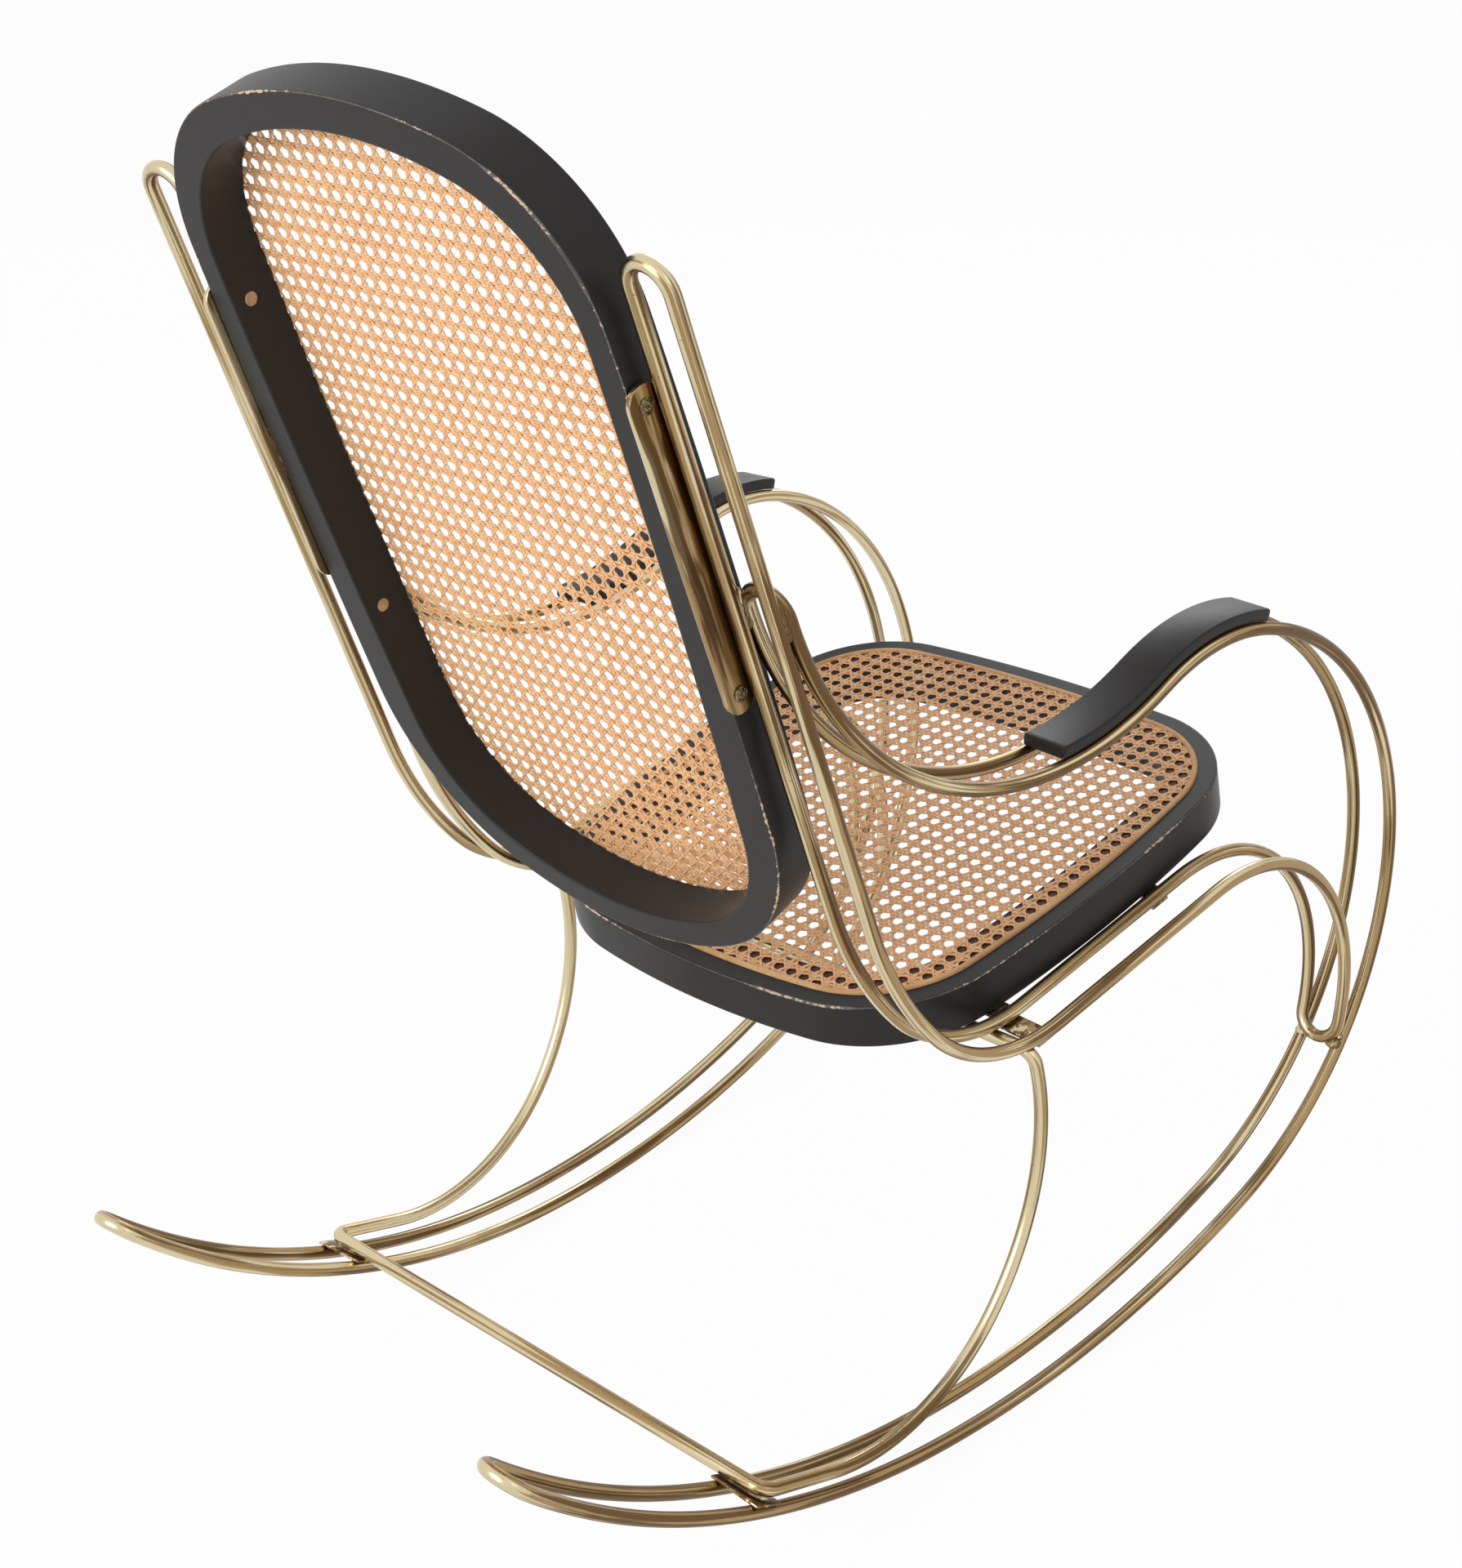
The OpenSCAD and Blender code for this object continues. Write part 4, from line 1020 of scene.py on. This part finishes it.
def strands(cfg, edge):
    """The straight and diagonal strands of a weave inside a convex edge, in metres. A mark on each says which
    way it passes first."""
    p, d = cfg.pitch / MM, cfg.pair / MM / 2
    reach = 40
    sets = []
    for name, along, across, shifts, axis, width, diagonal in (
        ("uprights", (0, 1), (1, 0), ((-d, 1.0), (d, -1.0)), (0, 1, 0), cfg.width, 0.0),
        ("rungs", (1, 0), (0, 1), ((-d, -1.0), (d, 1.0)), (1, 0, 0), cfg.width, 0.0),
        ("risers", (1, 1), (1, -1), ((p / 2, 1.0),), (1, 0, 0), cfg.cross, 1.0),
        ("fallers", (1, -1), (1, 1), ((p / 2, -1.0),), (1, 0, 0), cfg.cross, 1.0),
    ):
        paths, marks = [], []
        for i in range(-reach, reach + 1):
            for shift, which in shifts:
                ends = cut(edge, along, across, i * p + shift)
                if ends and math.dist(*ends) > SHORTEST_STRAND:
                    paths.append([(x * MM, y * MM, 0.0) for x, y in ends])
                    marks += [which, which]
        sets.append((name, paths, marks, axis, width, diagonal))
    return sets


class ROCKER_OT_weave(bpy.types.Operator):
    """Weave the six-way cane of the back and the seat"""

    bl_idname = "rocker.weave"
    bl_label = "Weave the cane"

    def execute(self, context):
        cfg = context.scene.rocker_cane
        finish = shared("cane", cane_skin, cfg)
        tree = weave_tree()
        for word, (origin, turn) in (("back", BACK_WEAVE), ("seat", SEAT_WEAVE)):
            outline, _, band, place = RINGS[word]
            edge = [spot(s, band + CANE_TUCK) for s in trace(outline, SHEET_STEPS)]
            edge = [turned((x - origin[0], y - origin[1]), -turn) for x, y in edge]
            flat = sheet_matrix(place, origin, turn)
            for k, (name, paths, marks, axis, width, diagonal) in enumerate(strands(cfg, edge)):
                obj = wire("cane_%s_%s" % (word, name), paths, False, which=marks)
                # Six steps to a weave spacing, or fewer on the diagonals, which are longer
                stride = cfg.pitch / (4.4 if diagonal else 6.0)
                grown(
                    obj, tree, Spacing=cfg.pitch, Axis=axis, Width=width, Thickness=cfg.thick,
                    Diagonal=diagonal, Step=stride, Seed=FIRST_SEED + k, Finish=finish,
                )
                obj.data.transform(flat)
                # The four sets stand for one node, which the first of them replaces
                finish_piece(obj, None, "cane", *([word + "_cane"] if k == 0 else []))
        return {"FINISHED"}


class ROCKER_OT_splines(bpy.types.Operator):
    """Press the reed splines into the grooves over the cane's edge"""

    bl_idname = "rocker.splines"
    bl_label = "Press in the splines"

    def execute(self, context):
        finish = shared("reed", reed_skin)
        for word, (outline, _, band, place) in RINGS.items():
            near, far, top = band + SPLINE_PLAY, band + GROOVE_W - SPLINE_PLAY, -SPLINE_RISE
            profile = [(outline, near + inward, top + down, 0) for inward, down in SPLINE_SHOULDER]
            profile.append((outline, (near + far) / 2, top, 0))
            profile += [(outline, far - inward, top + down, 0) for inward, down in reversed(SPLINE_SHOULDER)]
            obj = ring_object("reed_%s_spline" % word, profile, place, SPLINE_STEPS)
            finish_piece(obj, finish, "reed", word + "_spline")
        return {"FINISHED"}


def plate_object(name, outline, thick, place, bevel):
    """Flat plate from a closed outline, with its edges broken."""
    bm = bmesh.new()
    lower = [bm.verts.new(place(x, y, 0.0)) for x, y in outline]
    upper = [bm.verts.new(place(x, y, thick)) for x, y in outline]
    n = len(outline)
    bm.faces.new(lower)
    bm.faces.new(list(reversed(upper)))
    for i in range(n):
        bm.faces.new((lower[i], upper[i], upper[(i + 1) % n], lower[(i + 1) % n]))
    bmesh.ops.recalc_face_normals(bm, faces=bm.faces)
    rim = [e for e in bm.edges if len(e.link_faces) == 2 and e.calc_face_angle(0) > math.radians(50)]
    bmesh.ops.bevel(bm, geom=rim, offset=bevel * MM, segments=2, profile=0.5, affect="EDGES")
    return from_bmesh(name, bm, 35)


def rounded_bar(length, width, steps=10):
    """Outline of a bar with half-round ends, its length along y."""
    r, half = width / 2, length / 2 - width / 2
    angles = [math.pi * i / steps for i in range(steps + 1)]
    top = [(r * math.cos(a), half + r * math.sin(a)) for a in angles]
    return top + [(-x, -y) for x, y in top]


def strap_object(name, along, reach, left):
    """Strap bent from flat under the rods, up beside the inner rod, to flat under the wood."""
    inner, t = STRAP_RISER - STRAP_REACH, STRAP_T
    # Outline in (outwards, down from the rods' middle), clockwise
    outline = [
        (inner, -STRAP_TOP), (STRAP_RISER, -STRAP_TOP), (STRAP_RISER, CLEAR), (reach, CLEAR),
        (reach, CLEAR + t), (STRAP_RISER - t, CLEAR + t), (STRAP_RISER - t, t - STRAP_TOP),
        (inner, t - STRAP_TOP),
    ]

    def place(w, down, x):
        return from_pose(RAIL_START, along + x - STRAP_W / 2, down, w, left)

    return plate_object(name, outline, STRAP_W, place, 0.45)


class ROCKER_OT_plates(bpy.types.Operator):
    """Make the back brackets, the seat brackets and the runner plates"""

    bl_idname = "rocker.plates"
    bl_label = "Cut the plates"

    def execute(self, context):
        finish = shared("plate", plate_brass, context.scene.rocker_rods)
        wide = (ROD_GAP + ROD_D) / 2
        bar = rounded_bar(BRACKET_LENGTH, BRACKET_W)
        pad = [(x, y) for y, xs in ((-wide, RUNNER_PLATE), (wide, RUNNER_PLATE[::-1])) for x in xs]
        for left, word in SIDES:
            sign = 1 if left else -1

            def bracket(x, y, z, sign=sign):
                return lean(sign * (BRACKET_X + z), BRACKET_Y + x, BRACKET_Z + y)

            def under_bar(x, y, z, left=left):
                return from_pose(BAR_POSE, x, CLEAR + z, y, left)

            plates = {
                "back_bracket": plate_object("brass_back_bracket_" + word, bar, BRACKET_T, bracket, 0.6),
                "runner_plate": plate_object(
                    "brass_runner_plate_" + word, pad, RUNNER_PLATE_T, under_bar, 0.5
                ),
            }
            for where, along, reach in STRAPS:
                node = "seat_bracket_" + where
                plates[node] = strap_object("brass_%s_%s" % (node, word), along, reach, left)
            for node, obj in plates.items():
                finish_piece(obj, finish, "aged_brass", "%s_%s" % (node, word))
        return {"FINISHED"}


def head_height(r, dome, cup):
    """Height of a domed head over its underside, at a share of its radius. With a cup, a dished washer takes
    over at that share."""
    if cup and r > cup:
        return dome * (0.3 + 0.55 * (1 - r) / (1 - cup))
    head = cup - 0.06 if cup else 1.0
    return dome * (0.35 + 0.65 * math.sqrt(1 - min(1.0, r / head) ** 2))


def screw_part(size, dome, shank, recess=0.0, slot=0.0, reach=0.0, cup=0.0):
    """Screw, rivet or plug with a domed head, its underside at zero and its axis along z. The recess is a
    cross: slot and reach are its arms' half width and length as shares of the head's radius."""
    bm = bmesh.new()
    n = HEAD_STEPS
    grid = []
    for i in range(n + 1):
        row = []
        for j in range(n + 1):
            a, b = 2 * i / n - 1, 2 * j / n - 1
            # The square of steps, mapped to the head's disc
            x, y = a * math.sqrt(1 - b * b / 2), b * math.sqrt(1 - a * a / 2)
            r = math.hypot(x, y)
            z = head_height(r, dome, cup)
            if recess and min(abs(x), abs(y)) < slot and max(abs(x), abs(y)) < reach:
                z -= recess * min(1.0, 1.6 * (1 - r / reach) + 0.25)
            row.append(bm.verts.new((x * size / 2, y * size / 2, z)))
        grid.append(row)
    for i in range(n):
        for j in range(n):
            bm.faces.new((grid[i][j], grid[i + 1][j], grid[i + 1][j + 1], grid[i][j + 1]))
    rim = grid[0][:] + [grid[i][n] for i in range(1, n + 1)]
    rim += [grid[n][j] for j in range(n - 1, -1, -1)] + [grid[i][0] for i in range(n - 1, 0, -1)]
    # Down the head's side, in to the shank, and down the shank
    for share, z in ((1.0, 0.0), (shank / size, 0.0), (1.0, -dome)):
        below = [bm.verts.new((v.co.x * share, v.co.y * share, z)) for v in rim]
        skin(bm, [rim, below], False)
        rim = below
    bm.faces.new(rim)
    return from_bmesh("part_fastener", bm, 30)


def lump_part(seed, lumps=7):
    """Weld bead: a low uneven mound, longer than it is wide."""
    bm = bmesh.new()
    bmesh.ops.create_icosphere(bm, subdivisions=3, radius=1.0)
    rng = random.Random(seed)
    bumps = []
    for _ in range(lumps):
        towards = Vector([rng.uniform(-1, 1) for _ in range(3)]).normalized()
        bumps.append((towards, rng.uniform(0.1, 0.3)))
    for v in bm.verts:
        n = v.co.normalized()
        v.co = n * (0.9 + sum(height * max(0.0, n.dot(towards)) ** 6 for towards, height in bumps))
        v.co.x *= 1.5
        v.co.z *= 0.75
    return from_bmesh("part_bead", bm, 180)


def set_parts(name, spots, part, finish, slot, *nodes, size=1.0, **values):
    """Piece made of copies of one part, put at spots that each have a place, an axis and a spin."""
    mesh = bpy.data.meshes.new(name)
    mesh.from_pydata([tuple(place) for place, _, _ in spots], [], [])
    for key, k in (("axis", 1), ("spin", 2)):
        layer = mesh.attributes.new(key, "FLOAT_VECTOR", "POINT")
        layer.data.foreach_set("vector", [c for s in spots for c in s[k]])
    obj = make_object(name, mesh)
    grown(obj, shared("scatter", scatter_tree), Part=part, Size=size, Finish=finish, **values)
    finish_piece(obj, None, slot, *nodes)


def pinned(pose, along, off, w, left):
    """Spot of a screw or rivet that stands off to the left of a pose."""
    place, further = (from_pose(pose, along, d, w, left) for d in (off, off + 10.0))
    axis = (further - place).normalized()
    return place, axis, Vector((1, 0, 0)) - axis * axis.x


class ROCKER_OT_fasteners(bpy.types.Operator):
    """Drive the screws and set the rivets"""

    bl_idname = "rocker.fasteners"
    bl_label = "Drive the screws"

    def execute(self, context):
        cfg = context.scene.rocker_hardware
        size, shank = cfg.screw_head, 4 * MM
        screw = screw_part(size, 2.1 * MM, shank, recess=1.1 * MM, slot=0.13, reach=0.62)
        cupped = screw_part(cfg.cup, 2.1 * MM, shank, recess=1.0 * MM, slot=0.09, reach=0.4, cup=0.68)
        rivet = screw_part(size, 1.1 * MM, shank)
        steel = shared("screw", screw_metal, "tarnished steel screw", "#8E7F62", "#3E3122")
        dark = shared("rivet", screw_metal, "blackened rivet", "#3A3029", "#1E1916")
        seat_spots, rivet_spots = [], []
        for left, word in SIDES:
            sign = 1 if left else -1
            spots = []
            for k, up in enumerate((-BRACKET_SCREW, BRACKET_SCREW)):
                place = lean(sign * (BRACKET_X + BRACKET_T), BRACKET_Y, BRACKET_Z + up)
                # No two screws stop at the same angle
                a = 0.5 + 0.9 * k
                spots.append((place, Vector((sign, 0, 0)), Vector((0, math.cos(a), math.sin(a)))))
            set_parts("screws_back_" + word, spots, cupped, steel, "screw_metal", "back_screws_" + word)
            for _, along, _ in STRAPS:
                under, w = STRAP_T - STRAP_TOP, STRAP_RISER - STRAP_SCREW
                seat_spots.append(pinned(RAIL_START, along, under, w, left))
            rivet_spots.append(pinned(BAR_POSE, RIVET_AT, CLEAR + RUNNER_PLATE_T, -HALF_GAP, left))
        set_parts("screws_seat", seat_spots, screw, steel, "screw_metal", "seat_screws")
        set_parts("rivets_runner", rivet_spots, rivet, dark, "screw_metal", "runner_rivets")
        for part in (screw, cupped, rivet):
            bpy.data.objects.remove(part)
        return {"FINISHED"}


class ROCKER_OT_plugs(bpy.types.Operator):
    """Set the wooden plugs in the inner sides of the back ring"""

    bl_idname = "rocker.plugs"
    bl_label = "Set the plugs"

    def execute(self, context):
        finish = shared("plug", plug_wood)
        plug = screw_part(context.scene.rocker_hardware.plug, 0.8 * MM, 9.6 * MM)
        for left, word in SIDES:
            sign = 1 if left else -1
            spots = [
                (lean(sign * (x + JOINT_GAP), PLUG_Y, z), Vector((-sign, 0, 0)), Vector((0, 1, 0)))
                for z, x in PLUGS
            ]
            set_parts("plugs_back_" + word, spots, plug, finish, "plug_wood", "back_plugs_" + word)
        bpy.data.objects.remove(plug)
        return {"FINISHED"}


class ROCKER_OT_welds(bpy.types.Operator):
    """Lay the weld beads where the loops meet"""

    bl_idname = "rocker.welds"
    bl_label = "Lay the weld beads"

    def execute(self, context):
        cfg = context.scene.rocker_hardware
        bead = lump_part(5)
        finish = shared("plate", plate_brass, context.scene.rocker_rods)
        a = math.radians(FOOT_WELD[2])
        spots = []
        for left, _ in SIDES:
            down = direction_of(left, (0, 0, 0), (0, -1, 0))
            up = direction_of(left, (0, 0, 0), (-math.sin(a), math.cos(a), 0))
            across = direction_of(left, (0, 0, 0), (0, 0, 1))
            for sign in (-1, 1):
                # The arm loop against the front of the upright, from its round end down
                for u, v, inwards in ARM_BEADS:
                    w = sign * (HALF_GAP - inwards)
                    rear = direction_of(left, (RUNNER_START[0], v, w), (UPRIGHT_START[0], v, w))
                    spots.append((side(u, v, w, left), rear, down))
                # The foot of the seat loop on the runner, a bead before it and one behind
                for along in (-FOOT_BEAD_REACH, FOOT_BEAD_REACH):
                    spots.append((from_pose(FOOT_WELD, along, 0, sign * FOOT_BEAD_W, left), up, across))
        set_parts("brass_weld_beads", spots, bead, finish, "aged_brass", size=cfg.bead, Spread=0.15, Seed=3)
        bpy.data.objects.remove(bead)
        return {"FINISHED"}


def seen_directly(tree):
    """One for the rays by which the camera sees what is round the chair, itself or in a polished surface."""
    rays = add(tree, "ShaderNodeLightPath").outputs
    seen = add(tree, "ShaderNodeMath", (rays["Is Camera Ray"], rays["Is Glossy Ray"]), operation="MAXIMUM")
    return add(tree, "ShaderNodeMath", (seen, rays["Is Transmission Ray"]), operation="MAXIMUM")


def placed(name, data, matrix):
    """Lamp or camera in the scene."""
    obj = make_object(name, data)
    obj.matrix_world = matrix
    return obj


class ROCKER_OT_stage(bpy.types.Operator):
    """Set the floor, the lamps and the camera"""

    bl_idname = "rocker.stage"
    bl_label = "Set the stage"

    def execute(self, context):
        cfg = context.scene.rocker_stage
        scene = context.scene
        bm = bmesh.new()
        bmesh.ops.create_grid(bm, x_segments=2, y_segments=2, size=40.0)
        floor = from_bmesh("studio_floor", bm)
        mat, tree, shader, _ = material("pale studio floor")
        feed(shader, {"Base Color": cfg.floor, "Roughness": 0.9, "Specular IOR Level": 0.0})
        # The camera sees the floor nearly as white as the background, with a trace of shadow
        white = add(tree, "ShaderNodeEmission", {"Color": "#FFFFFF", "Strength": 1.0})
        share = total(tree, 0.0, (seen_directly(tree), 0.94))
        mix = add(tree, "ShaderNodeMixShader", (share, shader, white))
        feed(tree.nodes["Material Output"], {"Surface": mix})
        floor.data.materials.append(mat)

        world = bpy.data.worlds.new("even studio light")
        scene.world = world
        world.use_nodes = True
        tree = world.node_tree
        tree.nodes.clear()
        seen = seen_directly(tree)
        strength = add(tree, "ShaderNodeMix", {0: seen, 2: cfg.world, 3: 1.0}, data_type="FLOAT")
        sky = add(tree, "ShaderNodeBackground", {"Color": "#FFFFFF", "Strength": strength})
        add(tree, "ShaderNodeOutputWorld", {"Surface": sky})

        # Place, aim, width in metres and power in watts
        for name, place, aim, size, power in (
            ("softbox_behind", (0.3, 3.2, 1.7), (0, 0.2, 0.6), 1.8, 63),
            ("softbox_side", (-2.6, 0.6, 2.2), (0, 0, 0.5), 1.4, 3),
            ("softbox_front", (1.5, -2.6, 1.9), (0, 0, 0.5), 1.3, 15),
        ):
            lamp = bpy.data.lights.new(name, "AREA")
            lamp.shape, lamp.size, lamp.energy = "SQUARE", size, power * cfg.lamps
            turn = (Vector(aim) - Vector(place)).to_track_quat("-Z", "Y").to_matrix().to_4x4()
            placed(name, lamp, Matrix.Translation(place) @ turn)

        # Fitted to the weave of the back and the seat in the photo
        camera = bpy.data.cameras.new("photo_angle")
        camera.sensor_fit, camera.sensor_width = "HORIZONTAL", 36.0
        camera.lens, camera.shift_x, camera.shift_y = 64.43, -0.0274, -0.1282
        camera.clip_end = 200.0
        right = Vector((-0.73458, -0.67797, -0.02737))
        up = Vector((0.22011, -0.27625, 0.93554))
        back = Vector((-0.64182, 0.68120, 0.35217))
        turn = Matrix((right, up, back)).transposed().to_quaternion().to_matrix().to_4x4()
        scene.camera = placed("photo_angle", camera, Matrix.Translation((-1.23673, 1.29113, 1.26446)) @ turn)
        scene.view_settings.view_transform = "Standard"
        return {"FINISHED"}


class ROCKER_PT_panel(bpy.types.Panel):
    """Sizes, colours and steps of the chair"""

    bl_label = "Rocking chair"
    bl_idname = "ROCKER_PT_panel"
    bl_space_type = "VIEW_3D"
    bl_region_type = "UI"
    bl_category = "Rocker"

    def draw(self, context):
        for key, _ in GROUPS:
            box = self.layout.box()
            box.label(text=key.replace("rocker_", "").capitalize())
            for name in getattr(context.scene, key).__annotations__:
                box.prop(getattr(context.scene, key), name)
        for operator in OPERATORS:
            self.layout.operator(operator.bl_idname)


GROUPS = (
    ("rocker_rods", RockerRods),
    ("rocker_wood", RockerWood),
    ("rocker_cane", RockerCane),
    ("rocker_hardware", RockerHardware),
    ("rocker_stage", RockerStage),
)
OPERATORS = (
    ROCKER_OT_stage, ROCKER_OT_rods, ROCKER_OT_welds, ROCKER_OT_frames, ROCKER_OT_armrests, ROCKER_OT_weave,
    ROCKER_OT_splines, ROCKER_OT_plates, ROCKER_OT_fasteners, ROCKER_OT_plugs,
)


def register():
    for key, group in GROUPS:
        bpy.utils.register_class(group)
        setattr(bpy.types.Scene, key, PointerProperty(type=group))
    for cls in OPERATORS + (ROCKER_PT_panel,):
        bpy.utils.register_class(cls)


def unregister():
    for cls in (ROCKER_PT_panel,) + OPERATORS:
        bpy.utils.unregister_class(cls)
    for key, group in GROUPS:
        delattr(bpy.types.Scene, key)
        bpy.utils.unregister_class(group)


def main():
    register()
    for operator in OPERATORS:
        group, name = operator.bl_idname.split(".")
        getattr(getattr(bpy.ops, group), name)()


if __name__ == "__main__":
    main()
